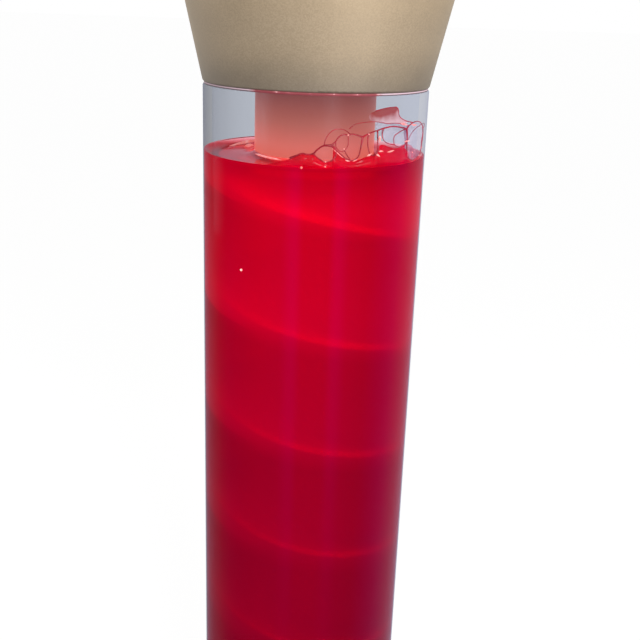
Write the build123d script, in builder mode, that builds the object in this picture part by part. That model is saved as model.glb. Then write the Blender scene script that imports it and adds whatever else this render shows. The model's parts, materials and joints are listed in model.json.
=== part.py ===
"""Motion lamp: a clear tube of red liquid between two flared gold cones.

A lit opal well hangs from the head into the liquid. A left-handed spiral ramp stands in the
liquid on a central pipe and is turned through the tank floor by a pair of ring magnets.
Millimetres, +Z is up, and the origin is on the floor under the lamp's axis.
"""

import math
import os

from build123d import *

# Fits between pieces
running_gap = 0.05
seat_gap = 0.1
screw_gap = 0.1
liquid_gap = 0.1

# Clear tube and liquid
tube_r = 50.0
tube_wall = 4.0
tube_length = 350.0
rim_round = 0.8
air_height = 29.0
gasket_thickness = 1.0
gasket_inset = 0.5

# Gold cones of the base and the head
cone_angle = 12.5
shell_wall = 1.5
floor_gap = 2.0
base_height = 126.0
head_height = 112.0
corner_round = 1.2
base_eye_gap = 3.0
base_lip_width = 13.0
head_lip_width = 7.0

# Bottom cover, feet and ballast
foot_r = 8.0
foot_height = 3.5
foot_round = 1.0
foot_count = 4
foot_edge_gap = 7.0
cover_thickness = 2.5
cover_gap = 0.6
ballast_gap = 2.0
ballast_width = 24.0
ballast_height = 16.0
ballast_round = 2.0
ballast_thread = 9.0
ballast_screw_count = 3
block_size = (30.0, 18.0, 14.0)
block_bore_r = 1.7
block_bore_pitch = 9.0
block_bore_depth = 5.0

# Screws
screw_r = 1.5
screw_head_r = 2.8
screw_head_height = 1.8
screw_head_round = 0.6
slot_width = 0.8
slot_depth = 0.8
cover_screw_count = 4

# Cord inlet bush on the rear of the base
inlet_height = 36.0
inlet_bore_r = 3.6
inlet_barrel_r = 5.4
inlet_flange_r = 8.0
inlet_flange = 2.5
inlet_round = 1.0
inlet_reach = 9.0
inlet_nut_r = 8.0
inlet_nut_height = 4.0
wall_setback = 2.2

# Toggle switch on the front of the base
switch_drop = 15.5
switch_body = (13.0, 20.0, 15.0)
switch_round = 1.0
bushing_r = 5.9
bushing_reach = 8.0
bushing_floor = 1.0
nut_flat = 14.0
nut_height = 2.5
lever_ball_r = 3.0
lever_neck_r = 1.5
lever_tip_r = 2.6
lever_length = 15.0
lever_tilt = 12.0
mouth_r = 4.6
mouth_depth = 5.0

# Tank floor and its seal
flange_thickness = 3.0
flange_inset = 1.0
plug_height = 14.0
floor_web = 6.0
pocket_gap = 4.0
seal_section_r = 1.3
seal_squeeze = 0.05
seal_height_share = 0.5

# Lamp pipe, nuts and washers
pipe_r = 5.0
pipe_bore_r = 3.5
pipe_end = 4.0
pipe_nut_flat = 14.0
pipe_nut_height = 5.0
pipe_washer_r = 9.5
pipe_washer = 1.5
seal_washer = 1.5
seal_nut_flange_r = 9.5
seal_nut_flange = 1.5
seal_nut_height = 6.0

# Spiral rotor
hub_r = 10.0
hub_bore_r = 7.0
bush_flange = 1.5
bush_length = 12.0
rotor_end_gap = 1.0
carrier_gap = 2.0
carrier_wall = 3.0
carrier_core_gap = 2.0
carrier_web = 3.0
magnet_inner_r = 14.0
magnet_outer_r = 27.0
magnet_height = 5.0
magnet_air_gap = 1.0
ramp_r = 34.0
ramp_lead = 53.7
ramp_thickness = 3.0
ramp_lift = 8.0
ramp_top_gap = 3.0
ramp_top_heading = 176.8

# Motor, plate, pillars and gears
pillar_count = 3
pillar_heading = 60.0
pillar_r = 3.5
pillar_length = 17.0
pillar_thread = 8.0
stud_reach = 6.0
plate_thickness = 2.0
plate_gap = 5.0
thrust_washer = 1.0
gear_module_share = 0.02
gear_teeth = 48
pinion_teeth = 16
pressure_angle = 20.0
gear_face = 7.0
gear_addendum_share = 0.95
gear_dedendum_share = 1.25
gear_backlash = 0.16
gear_flank_points = 5
gear_stem_r = 13.0
gear_table = 4.0
gear_boss = 3.0
gear_bush_r = 8.0
gear_bush_flange_r = 11.0
pinion_overlap = 0.5
motor_gap = 3.0
motor_height = 22.0
motor_ear = 1.0
motor_ear_gap = 4.5
motor_ear_r = 4.0
motor_boss_r = 5.0
motor_round = 1.5
motor_cap_inset = 2.0
motor_cap_height = 3.0
shaft_r = 2.5
shaft_depth = 8.0
shaft_end = 1.5

# Opal light well
well_r = 27.0
well_wall = 2.0
well_floor = 2.5
well_dip = 7.5
well_flange_r = 40.0
well_round = 3.0

# Bulb, socket and bridge
bulb_tip_gap = 11.0
bulb_r = 17.5
bulb_length = 74.0
bulb_wall = 0.8
bulb_shares = ((0.05, 0.24), (0.18, 0.6), (0.42, 1.0), (0.68, 0.8), (0.9, 0.42))
bulb_neck_share = 0.36
bulb_tip_flat = 0.6
base_sleeve = 4.0
base_thread_r = 7.0
base_thread_depth = 0.6
base_thread_pitch = 2.8
base_thread_turns = 6
base_cone = 3.0
base_contact_r = 2.6
base_contact = 1.5
socket_wall = 5.0
socket_roof = 6.0
socket_round = 1.5
socket_neck = 9.0
socket_sleeve_wall = 0.8
socket_sleeve_length = 18.0
socket_tongue = 1.0
bridge_thickness = 1.5
bridge_width = 14.0
bridge_leg_x = 30.0
bridge_foot_x = 39.0
bridge_screw_x = 35.5

# Leads
lamp_lead_r = 1.7
lamp_lead_x = 21.5
lamp_lead_bend = 3.0
lamp_lead_rise = 10.0
thin_lead_r = 1.1
thin_lead_bend = 4.0
lead_drop = 16.0
lead_depth = 3.0

# Lid and knob
lid_wall = 1.5
lid_rim = 2.0
lid_rise = 9.0
lid_gap = 0.4
lid_skirt = 6.0
vent_count = 16
vent_circle_r = 46.0
vent_length = 26.0
vent_width = 4.0
knob_r = 10.0
knob_neck_r = 4.5
knob_neck = 4.0
knob_head = 10.0
knob_round = 3.0
knob_neck_round = 0.6
knob_thread = 7.0

# Heights and radii that follow
slope = math.tan(math.radians(cone_angle))
lean = math.radians(cone_angle)
wall_run = shell_wall / math.cos(lean)
tube_bore_r = tube_r - tube_wall
cover_top = foot_height + cover_thickness
base_top = floor_gap + base_height
tube_bottom = base_top + flange_thickness
floor_top = tube_bottom + plug_height
rim_top = tube_bottom + tube_length
head_bottom = rim_top + gasket_thickness
head_top = head_bottom + head_height
liquid_level = rim_top - air_height
well_bottom = liquid_level - well_dip
well_flange_bottom = head_bottom + shell_wall
well_flange_top = well_flange_bottom + well_wall
head_eye_r = well_r + seat_gap
plate_top = base_top - shell_wall - pillar_length
plate_bottom = plate_top - plate_thickness
switch_height = plate_bottom - switch_drop
gear_module = tube_r * gear_module_share
motor_x = gear_module * (gear_teeth + pinion_teeth) / 2
gear_bottom = plate_top + thrust_washer + bush_flange
drive_magnet_top = floor_top - floor_web - magnet_air_gap
drive_magnet_bottom = drive_magnet_top - magnet_height
rotor_seat = floor_top + seal_washer + seal_nut_height
carrier_bottom = floor_top + carrier_gap
carrier_core_r = seal_nut_flange_r + carrier_core_gap
carrier_r = magnet_outer_r + carrier_wall
base_eye_r = magnet_outer_r + base_eye_gap
pocket_r = magnet_outer_r + pocket_gap
pillar_circle_r = (pocket_r + tube_bore_r) / 2
carrier_top = rotor_seat + bush_flange + carrier_web
rotor_top = well_bottom - seal_washer - seal_nut_height - rotor_end_gap
hub_top = rotor_top - bush_flange
pipe_bottom = plate_bottom - pipe_nut_height - pipe_end
pipe_nut_top = well_bottom + well_floor + pipe_washer + pipe_nut_height
pipe_top = pipe_nut_top + pipe_end / 2
bulb_tip = pipe_top + bulb_tip_gap
bulb_neck_r = bulb_r * bulb_neck_share
bulb_end = bulb_tip + bulb_length
thread_bottom = bulb_end
thread_top = thread_bottom + base_thread_turns * base_thread_pitch
contact_top = thread_top + base_cone + base_contact
sleeve_bottom = contact_top + socket_tongue - socket_sleeve_length
socket_bottom = bulb_end - base_sleeve
socket_bore_r = base_thread_r + running_gap + socket_sleeve_wall + seat_gap
socket_r = socket_bore_r + socket_wall
socket_top = contact_top + socket_tongue + socket_roof
bridge_top = socket_top + bridge_thickness
block_top = cover_top + block_size[2]


def base_r(height):
    """Outer radius of the base cone at a height."""
    return tube_r + (base_top - height) * slope


def head_r(height):
    """Outer radius of the head cone at a height."""
    return tube_r + (height - head_bottom) * slope


def spots(radius, count, heading=0.0):
    """Points evenly spread on a circle around the lamp's axis."""
    turns = [math.radians(heading + 360 * i / count) for i in range(count)]
    return [(radius * math.cos(turn), radius * math.sin(turn)) for turn in turns]


cover_r = base_r(cover_top) - wall_run - cover_gap
plate_r = base_r(plate_top) - wall_run - plate_gap
motor_r = base_r(plate_bottom) - wall_run - motor_x - motor_gap
motor_ear_pitch = 2 * (motor_r + motor_ear_gap)
base_lip_r = base_r(cover_top) - wall_run - base_lip_width
ballast_r = base_lip_r - ballast_gap
cover_screw_spots = spots((base_lip_r + cover_r) / 2, cover_screw_count)
foot_spots = spots(cover_r - foot_edge_gap - foot_r, foot_count, 180 / foot_count)
ballast_screw_spots = spots(ballast_r - ballast_width / 2, ballast_screw_count, pillar_heading / 2)
pillar_spots = spots(pillar_circle_r, pillar_count, pillar_heading)
ear_spots = [(motor_x, side * motor_ear_pitch / 2) for side in (-1, 1)]
bridge_spots = [(side * bridge_screw_x, 0) for side in (-1, 1)]
switch_plane = Plane(
    origin=(0, -base_r(switch_height), switch_height),
    x_dir=(1, 0, 0),
    z_dir=(0, -math.cos(lean), math.sin(lean)),
)
inlet_plane = Plane(
    origin=(0, base_r(inlet_height), inlet_height),
    x_dir=(-1, 0, 0),
    z_dir=(0, math.cos(lean), math.sin(lean)),
)

os.makedirs("parts", exist_ok=True)


def save(part, name):
    """Label a finished piece and write it."""
    part.label = name
    export_step(part, f"parts/{name}.step")


def turn(points, rounds=None, plane=Plane.XZ, mode=Mode.ADD):
    """Revolve an outline of (radius, height) points in a plane around that plane's Y axis."""
    with BuildSketch(plane) as outline:
        with BuildLine():
            if rounds:
                FilletPolyline(*points, radius=rounds, close=True)
            else:
                Polyline(*points, close=True)
        make_face()
    revolve(outline.sketch, axis=Axis(plane.origin, plane.y_dir), mode=mode)


def bore(places, radius, bottom, top):
    """Cut round holes from bottom to top at places around the lamp's axis."""
    with BuildSketch(Plane.XY.offset(bottom)) as holes:
        with Locations(*places):
            Circle(radius)
    extrude(holes.sketch, amount=top - bottom, mode=Mode.SUBTRACT)


def ring(name, inner_r, outer_r, bottom, height):
    """A flat ring around the lamp's axis."""
    with BuildPart() as piece:
        with BuildSketch(Plane.XY.offset(bottom)):
            Circle(outer_r)
            Circle(inner_r, mode=Mode.SUBTRACT)
        extrude(amount=height)
    save(piece.part, name)


def screws(name, places, seat, length, up=1):
    """Slotted pan-head screws: heads against a seat height, shanks pointing up or down."""
    with BuildPart() as piece:
        with BuildSketch(Plane.XY.offset(seat)):
            with Locations(*places):
                Circle(screw_head_r)
        extrude(amount=-up * screw_head_height)
        fillet(piece.edges().group_by(Axis.Z)[0 if up > 0 else -1], screw_head_round)
        with BuildSketch(Plane.XY.offset(seat)):
            with Locations(*places):
                Circle(screw_r)
        extrude(amount=up * length)
        with BuildSketch(Plane.XY.offset(seat - up * screw_head_height)):
            with Locations(*places):
                Rectangle(screw_head_r * 2, slot_width)
        extrude(amount=up * slot_depth, mode=Mode.SUBTRACT)
    save(piece.part, name)


def lead(name, points, radius, bend):
    """A round lead along a path with rounded corners."""
    with BuildPart() as piece:
        with BuildLine() as path:
            FilletPolyline(*points, radius=bend)
        with BuildSketch(Plane(origin=path.line @ 0, z_dir=path.line % 0)):
            Circle(radius)
        sweep()
    save(piece.part, name)


def involute(angle):
    """Involute function of a pressure angle in radians."""
    return math.tan(angle) - angle


def add_teeth(teeth, plane, height, half_step=False):
    """Add an involute spur gear of the given tooth count to the part in work."""
    pitch_r = gear_module * teeth / 2
    pressure = math.radians(pressure_angle)
    circle_r = pitch_r * math.cos(pressure)
    root_r = pitch_r - gear_module * gear_dedendum_share
    tip_r = pitch_r + gear_module * gear_addendum_share
    foot_r_low = max(circle_r, root_r)
    half_tooth = math.pi / (2 * teeth) - gear_backlash / (4 * pitch_r) + involute(pressure)
    flank = []
    for i in range(gear_flank_points):
        radius = foot_r_low + (tip_r - foot_r_low) * i / (gear_flank_points - 1)
        turn_by = half_tooth - involute(math.acos(circle_r / radius))
        flank.append((radius * math.cos(turn_by), radius * math.sin(turn_by)))
    mirrored = [(x, -y) for x, y in flank]
    heel = (root_r * math.cos(half_tooth) / 2, root_r * math.sin(half_tooth) / 2)
    with BuildSketch() as tooth:
        with BuildLine():
            Line(heel, flank[0])
            Spline(*flank)
            ThreePointArc(flank[-1], (tip_r, 0), mirrored[-1])
            Spline(*mirrored[::-1])
            Line(mirrored[0], (heel[0], -heel[1]))
            Line((heel[0], -heel[1]), heel)
        make_face()
    with BuildSketch(plane) as wheel:
        Circle(root_r)
        with PolarLocations(0, teeth, start_angle=180 / teeth if half_step else 0):
            add(tooth.sketch)
    extrude(wheel.sketch, amount=height)


# Base shell: a spun cone with a flat top that carries the tank and a turned-in lower lip
with BuildPart() as base_shell:
    turn(
        [
            (base_r(floor_gap), floor_gap),
            (tube_r, base_top),
            (base_eye_r, base_top),
            (base_eye_r, base_top - shell_wall),
            (base_r(base_top - shell_wall) - wall_run, base_top - shell_wall),
            (base_r(cover_top + shell_wall) - wall_run, cover_top + shell_wall),
            (base_lip_r, cover_top + shell_wall),
            (base_lip_r, cover_top),
            (base_r(cover_top) - wall_run, cover_top),
            (base_r(floor_gap) - wall_run, floor_gap),
        ],
        rounds=[0, corner_round, 0, 0, 0, 0, 0, 0, 0, 0],
    )
    bore(cover_screw_spots, screw_r + screw_gap, cover_top, cover_top + shell_wall)
    bore(pillar_spots, screw_r + screw_gap, base_top - shell_wall, base_top)
    with BuildSketch(switch_plane):
        Circle(bushing_r + seat_gap)
    extrude(amount=wall_setback, both=True, mode=Mode.SUBTRACT)
    with BuildSketch(inlet_plane):
        Circle(inlet_barrel_r + seat_gap)
    extrude(amount=wall_setback, both=True, mode=Mode.SUBTRACT)
save(base_shell.part, "base_shell")

# Bottom cover on the lip's underside, with its feet, screws, ballast and terminal block
with BuildPart() as bottom_cover:
    with BuildSketch(Plane.XY.offset(foot_height)):
        Circle(cover_r)
    extrude(amount=cover_thickness)
    bore(cover_screw_spots + ballast_screw_spots, screw_r + screw_gap, foot_height, cover_top)
save(bottom_cover.part, "bottom_cover")

with BuildPart() as rubber_feet:
    with BuildSketch():
        with Locations(*foot_spots):
            Circle(foot_r)
    extrude(amount=foot_height)
    fillet(rubber_feet.edges().group_by(Axis.Z)[0], foot_round)
save(rubber_feet.part, "rubber_feet")

screws("cover_screws", cover_screw_spots, foot_height, cover_thickness + shell_wall + screw_r)

with BuildPart() as ballast_ring:
    with BuildSketch(Plane.XY.offset(cover_top)):
        Circle(ballast_r)
        Circle(ballast_r - ballast_width, mode=Mode.SUBTRACT)
    extrude(amount=ballast_height)
    fillet(ballast_ring.edges().group_by(Axis.Z)[-1], ballast_round)
    bore(ballast_screw_spots, screw_r + screw_gap, cover_top, cover_top + ballast_thread)
save(ballast_ring.part, "ballast_ring")

screws(
    "ballast_screws", ballast_screw_spots, foot_height, cover_thickness + ballast_thread - screw_r
)

with BuildPart() as terminal_block:
    with BuildSketch(Plane.XY.offset(cover_top)):
        Rectangle(block_size[0], block_size[1])
    extrude(amount=block_size[2])
    with BuildSketch(Plane.XY.offset(block_top)):
        with GridLocations(block_bore_pitch, block_bore_pitch, 3, 2):
            Circle(block_bore_r)
    extrude(amount=-block_bore_depth, mode=Mode.SUBTRACT)
save(terminal_block.part, "terminal_block")

# Cord inlet bush through the rear wall, held by a ring nut inside
inlet_side = Plane(inlet_plane.origin, x_dir=inlet_plane.x_dir, z_dir=-inlet_plane.y_dir)
with BuildPart() as cord_inlet:
    turn(
        [
            (inlet_bore_r, -inlet_reach),
            (inlet_barrel_r, -inlet_reach),
            (inlet_barrel_r, 0),
            (inlet_flange_r, 0),
            (inlet_flange_r, inlet_flange),
            (inlet_bore_r, inlet_flange),
        ],
        rounds=[0, 0, 0, 0, inlet_round, inlet_round],
        plane=inlet_side,
    )
save(cord_inlet.part, "cord_inlet")

with BuildPart() as inlet_nut:
    with BuildSketch(inlet_plane.offset(-wall_setback)):
        RegularPolygon(inlet_nut_r, 6)
        Circle(inlet_barrel_r + seat_gap, mode=Mode.SUBTRACT)
    extrude(amount=-inlet_nut_height)
save(inlet_nut.part, "inlet_nut")

# Toggle switch through the front wall: body with bushing, nut and lever
switch_side = Plane(switch_plane.origin, x_dir=switch_plane.x_dir, z_dir=-switch_plane.y_dir)
lever_rise = lever_ball_r - bushing_floor + running_gap
with BuildPart() as toggle_body:
    with BuildSketch(switch_plane.offset(-wall_setback)):
        RectangleRounded(switch_body[0], switch_body[1], switch_round)
    extrude(amount=-switch_body[2])
    with BuildSketch(switch_plane.offset(-wall_setback)):
        Circle(bushing_r)
    extrude(amount=wall_setback + bushing_reach)
    turn(
        [
            (0, -bushing_floor),
            (lever_ball_r + running_gap, -bushing_floor),
            (lever_ball_r + running_gap, bushing_reach - mouth_depth),
            (mouth_r, bushing_reach),
            (0, bushing_reach),
        ],
        plane=switch_side,
        mode=Mode.SUBTRACT,
    )
save(toggle_body.part, "toggle_body")

with BuildPart() as toggle_nut:
    with BuildSketch(switch_plane):
        RegularPolygon(nut_flat / 2, 6, major_radius=False)
        Circle(bushing_r + seat_gap, mode=Mode.SUBTRACT)
    extrude(amount=nut_height)
save(toggle_nut.part, "toggle_nut")

lever_heading = lean + math.radians(lever_tilt)
lever_axis = Vector(0, -math.cos(lever_heading), math.sin(lever_heading))
lever_side = Plane(
    origin=switch_plane.origin + switch_plane.z_dir * lever_rise,
    x_dir=(1, 0, 0),
    z_dir=Vector(1, 0, 0).cross(lever_axis),
)
with BuildPart() as toggle_lever:
    with BuildSketch(lever_side):
        with BuildLine():
            Line((0, -lever_ball_r), (0, lever_ball_r))
            ThreePointArc((0, -lever_ball_r), (lever_ball_r, 0), (0, lever_ball_r))
        make_face()
        with BuildLine():
            Polyline((0, 0), (lever_neck_r, 0), (lever_tip_r, lever_length))
            ThreePointArc(
                (lever_tip_r, lever_length),
                (lever_tip_r * math.sin(math.pi / 4), lever_length + lever_tip_r * math.sin(math.pi / 4)),
                (0, lever_length + lever_tip_r),
            )
            Line((0, lever_length + lever_tip_r), (0, 0))
        make_face()
    revolve(axis=Axis(lever_side.origin, lever_side.y_dir))
save(toggle_lever.part, "toggle_lever")

# Tank floor: flange on the base, plug in the tube, pocket below for the drive magnet
plug_r = tube_bore_r - seat_gap
seal_r = tube_bore_r - seal_squeeze - seal_section_r
seal_middle = tube_bottom + plug_height * seal_height_share
groove_half = seal_section_r + seal_squeeze
with BuildPart() as tank_floor:
    turn(
        [
            (pipe_r + seat_gap, floor_top),
            (plug_r, floor_top),
            (plug_r, seal_middle + groove_half),
            (seal_r - groove_half, seal_middle + groove_half),
            (seal_r - groove_half, seal_middle - groove_half),
            (plug_r, seal_middle - groove_half),
            (plug_r, tube_bottom),
            (tube_r - flange_inset, tube_bottom),
            (tube_r - flange_inset, base_top),
            (pocket_r, base_top),
            (pocket_r, floor_top - floor_web),
            (pipe_r + seat_gap, floor_top - floor_web),
        ]
    )
    bore(pillar_spots, screw_r + screw_gap, base_top, base_top + stud_reach)
save(tank_floor.part, "tank_floor")

with BuildPart() as floor_seal:
    with BuildSketch(Plane.XZ):
        with Locations((seal_r, seal_middle)):
            Circle(seal_section_r)
    revolve(axis=Axis.Z)
save(floor_seal.part, "floor_seal")

# Motor plate hung on pillars whose studs clamp the base to the tank floor
with BuildPart() as plate_pillars:
    with BuildSketch(Plane.XY.offset(plate_top)):
        with Locations(*pillar_spots):
            RegularPolygon(pillar_r, 6)
    extrude(amount=pillar_length)
    with BuildSketch(Plane.XY.offset(plate_top + pillar_length)):
        with Locations(*pillar_spots):
            Circle(screw_r)
    extrude(amount=shell_wall + stud_reach - screw_r)
    bore(pillar_spots, screw_r + screw_gap, plate_top, plate_top + pillar_thread)
save(plate_pillars.part, "plate_pillars")

screws("pillar_screws", pillar_spots, plate_bottom, plate_thickness + pillar_thread - screw_r)

with BuildPart() as motor_plate:
    with BuildSketch(Plane.XY.offset(plate_bottom)):
        Circle(plate_r)
    extrude(amount=plate_thickness)
    bore(pillar_spots + ear_spots, screw_r + screw_gap, plate_bottom, plate_top)
    bore([(0, 0)], pipe_r + seat_gap, plate_bottom, plate_top)
    bore([(motor_x, 0)], motor_boss_r + seat_gap, plate_bottom, plate_top)
save(motor_plate.part, "motor_plate")

# Gear motor: a drawn can with two ears, an end cap and the output shaft with its pinion
motor_bottom = plate_bottom - motor_height
with BuildPart() as motor_case:
    with BuildSketch(Plane.XY.offset(motor_bottom)):
        with Locations((motor_x, 0)):
            Circle(motor_r)
    extrude(amount=motor_height)
    fillet(motor_case.edges().group_by(Axis.Z)[0], motor_round)
    with BuildSketch(Plane.XY.offset(plate_bottom - motor_ear)):
        with Locations((motor_x, 0)):
            SlotCenterToCenter(motor_ear_pitch, motor_ear_r * 2, rotation=90)
    extrude(amount=motor_ear)
    with BuildSketch(Plane.XY.offset(plate_bottom)):
        with Locations((motor_x, 0)):
            Circle(motor_boss_r)
    extrude(amount=plate_thickness)
    bore(ear_spots, screw_r + screw_gap, plate_bottom - motor_ear, plate_bottom)
    bore([(motor_x, 0)], shaft_r + running_gap, plate_bottom - shaft_depth, plate_top)
save(motor_case.part, "motor_case")

with BuildPart() as motor_cap:
    with BuildSketch(Plane.XY.offset(motor_bottom)):
        with Locations((motor_x, 0)):
            Circle(motor_r - motor_cap_inset)
    extrude(amount=-motor_cap_height)
    fillet(motor_cap.edges().group_by(Axis.Z)[0], motor_round)
save(motor_cap.part, "motor_cap")

screws("motor_screws", ear_spots, plate_bottom - motor_ear, motor_ear + plate_thickness)

pinion_bottom = gear_bottom - pinion_overlap
pinion_height = gear_face + pinion_overlap * 2
with BuildPart() as motor_shaft:
    with BuildSketch(Plane.XY.offset(plate_bottom - shaft_depth)):
        with Locations((motor_x, 0)):
            Circle(shaft_r)
    extrude(amount=pinion_bottom + pinion_height + shaft_end - plate_bottom + shaft_depth)
save(motor_shaft.part, "motor_shaft")

with BuildPart() as drive_pinion:
    add_teeth(
        pinion_teeth, Plane((motor_x, 0, pinion_bottom)), pinion_height, half_step=True
    )
    bore([(motor_x, 0)], shaft_r, pinion_bottom, pinion_bottom + pinion_height)
save(drive_pinion.part, "drive_pinion")

# Drive wheel around the pipe: toothed rim below, magnet table above, on a flanged bush
ring("thrust_washer", pipe_r + seat_gap, gear_bush_flange_r, plate_top, thrust_washer)

with BuildPart() as gear_bush:
    turn(
        [
            (pipe_r + running_gap, gear_bottom - bush_flange),
            (gear_bush_flange_r, gear_bottom - bush_flange),
            (gear_bush_flange_r, gear_bottom),
            (gear_bush_r, gear_bottom),
            (gear_bush_r, drive_magnet_bottom),
            (pipe_r + running_gap, drive_magnet_bottom),
        ]
    )
save(gear_bush.part, "gear_bush")

with BuildPart() as drive_gear:
    add_teeth(gear_teeth, Plane.XY.offset(gear_bottom), gear_face)
    turn(
        [
            (0, gear_bottom),
            (gear_stem_r, gear_bottom),
            (gear_stem_r, drive_magnet_bottom - gear_table),
            (magnet_outer_r, drive_magnet_bottom - gear_table),
            (magnet_outer_r, drive_magnet_bottom),
            (magnet_inner_r, drive_magnet_bottom),
            (magnet_inner_r, drive_magnet_bottom + gear_boss),
            (0, drive_magnet_bottom + gear_boss),
        ]
    )
    bore([(0, 0)], gear_bush_r, gear_bottom, drive_magnet_bottom + gear_boss)
save(drive_gear.part, "drive_gear")

ring(
    "drive_magnet", magnet_inner_r + seat_gap, magnet_outer_r, drive_magnet_bottom, magnet_height
)

# Lamp pipe that ties base, tank and well together, with its nuts, washers and seals
ring("lamp_pipe", pipe_bore_r, pipe_r, pipe_bottom, pipe_top - pipe_bottom)
ring(
    "pipe_washer", pipe_r + seat_gap, pipe_washer_r, well_bottom + well_floor, pipe_washer
)

with BuildPart() as pipe_nuts:
    for nut_bottom in (plate_bottom - pipe_nut_height, pipe_nut_top - pipe_nut_height):
        with BuildSketch(Plane.XY.offset(nut_bottom)):
            RegularPolygon(pipe_nut_flat / 2, 6, major_radius=False)
            Circle(pipe_r + seat_gap, mode=Mode.SUBTRACT)
        extrude(amount=pipe_nut_height)
save(pipe_nuts.part, "pipe_nuts")

with BuildPart() as seal_washers:
    for washer_bottom in (floor_top, well_bottom - seal_washer):
        with BuildSketch(Plane.XY.offset(washer_bottom)):
            Circle(seal_nut_flange_r)
            Circle(pipe_r + seat_gap, mode=Mode.SUBTRACT)
        extrude(amount=seal_washer)
save(seal_washers.part, "seal_washers")

with BuildPart() as seal_nuts:
    for nut_face, up in ((floor_top + seal_washer, 1), (well_bottom - seal_washer, -1)):
        with BuildSketch(Plane.XY.offset(nut_face)):
            Circle(seal_nut_flange_r)
            Circle(pipe_r + seat_gap, mode=Mode.SUBTRACT)
        extrude(amount=up * seal_nut_flange)
        with BuildSketch(Plane.XY.offset(nut_face)):
            RegularPolygon(pipe_nut_flat / 2, 6, major_radius=False)
            Circle(pipe_r + seat_gap, mode=Mode.SUBTRACT)
        extrude(amount=up * seal_nut_height)
save(seal_nuts.part, "seal_nuts")

# Clear tube
with BuildPart() as clear_tube:
    turn(
        [
            (tube_bore_r, tube_bottom),
            (tube_r, tube_bottom),
            (tube_r, rim_top),
            (tube_bore_r, rim_top),
        ],
        rounds=[0, 0, rim_round, rim_round],
    )
save(clear_tube.part, "clear_tube")

# Spiral rotor: hub with magnet carrier, ramp, follower magnet and two flanged bushes
with BuildPart() as rotor_hub:
    turn(
        [
            (hub_bore_r, rotor_seat + bush_flange),
            (carrier_core_r, rotor_seat + bush_flange),
            (carrier_core_r, carrier_bottom),
            (magnet_inner_r, carrier_bottom),
            (magnet_inner_r, carrier_bottom + magnet_height),
            (magnet_outer_r, carrier_bottom + magnet_height),
            (magnet_outer_r, carrier_bottom),
            (carrier_r, carrier_bottom),
            (carrier_r, carrier_top),
            (hub_r, carrier_top),
            (hub_r, hub_top),
            (hub_bore_r, hub_top),
        ]
    )
save(rotor_hub.part, "rotor_hub")

ring(
    "follower_magnet",
    magnet_inner_r + seat_gap,
    magnet_outer_r - seat_gap,
    carrier_bottom,
    magnet_height,
)

with BuildPart() as hub_bushes:
    for flange_end, up in ((rotor_seat, 1), (rotor_top, -1)):
        turn(
            [
                (pipe_r + running_gap, flange_end),
                (hub_r, flange_end),
                (hub_r, flange_end + up * bush_flange),
                (hub_bore_r, flange_end + up * bush_flange),
                (hub_bore_r, flange_end + up * bush_length),
                (pipe_r + running_gap, flange_end + up * bush_length),
            ]
        )
save(hub_bushes.part, "hub_bushes")

ramp_bottom = carrier_top + ramp_lift
ramp_height = well_bottom - ramp_top_gap - ramp_bottom
ramp_twist = 360 * ramp_height / ramp_lead
ramp_sector = 360 * ramp_thickness / ramp_lead


def spiral(inner_r, outer_r):
    """A left-handed helical ramp between two radii."""
    with BuildSketch(Plane.XY.offset(ramp_bottom)) as section:
        with BuildLine():
            outer = CenterArc((0, 0), outer_r, ramp_top_heading + ramp_twist, ramp_sector)
            inner = CenterArc((0, 0), inner_r, ramp_top_heading + ramp_twist, ramp_sector)
            Line(inner @ 0, outer @ 0)
            Line(inner @ 1, outer @ 1)
        make_face()
    return Solid.extrude_linear_with_rotation(
        section.sketch.faces()[0], (0, 0, ramp_bottom), (0, 0, ramp_height), -ramp_twist
    )


ramp_solid = spiral(hub_r, ramp_r)
ramp_space = spiral(hub_bore_r, ramp_r)

with BuildPart() as spiral_ramp:
    add(ramp_solid)
save(spiral_ramp.part, "spiral_ramp")

# Red liquid around the rotor and the well's lower end
with BuildPart() as red_liquid:
    turn(
        [
            (carrier_core_r, floor_top + liquid_gap),
            (tube_bore_r - liquid_gap, floor_top + liquid_gap),
            (tube_bore_r - liquid_gap, liquid_level),
            (well_r + liquid_gap, liquid_level),
            (well_r + liquid_gap, well_bottom - liquid_gap),
            (hub_r, well_bottom - liquid_gap),
            (hub_r, carrier_top),
            (carrier_r, carrier_top),
            (carrier_r, carrier_bottom),
            (carrier_core_r, carrier_bottom),
        ]
    )
    add(ramp_space, mode=Mode.SUBTRACT)
save(red_liquid.part, "red_liquid")

# Opal light well hanging from the head's floor
with BuildPart() as light_well:
    turn(
        [
            (pipe_r + seat_gap, well_bottom),
            (well_r, well_bottom),
            (well_r, well_flange_bottom),
            (well_flange_r, well_flange_bottom),
            (well_flange_r, well_flange_top),
            (well_r - well_wall, well_flange_top),
            (well_r - well_wall, well_bottom + well_floor),
            (pipe_r + seat_gap, well_bottom + well_floor),
        ],
        rounds=[0, well_round, 0, 0, 0, 0, well_round - well_wall, 0],
    )
    bore(bridge_spots, screw_r + screw_gap, well_flange_bottom, well_flange_top)
save(light_well.part, "light_well")

ring(
    "tube_gasket", tube_bore_r + gasket_inset, tube_r - gasket_inset, rim_top, gasket_thickness
)

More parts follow.
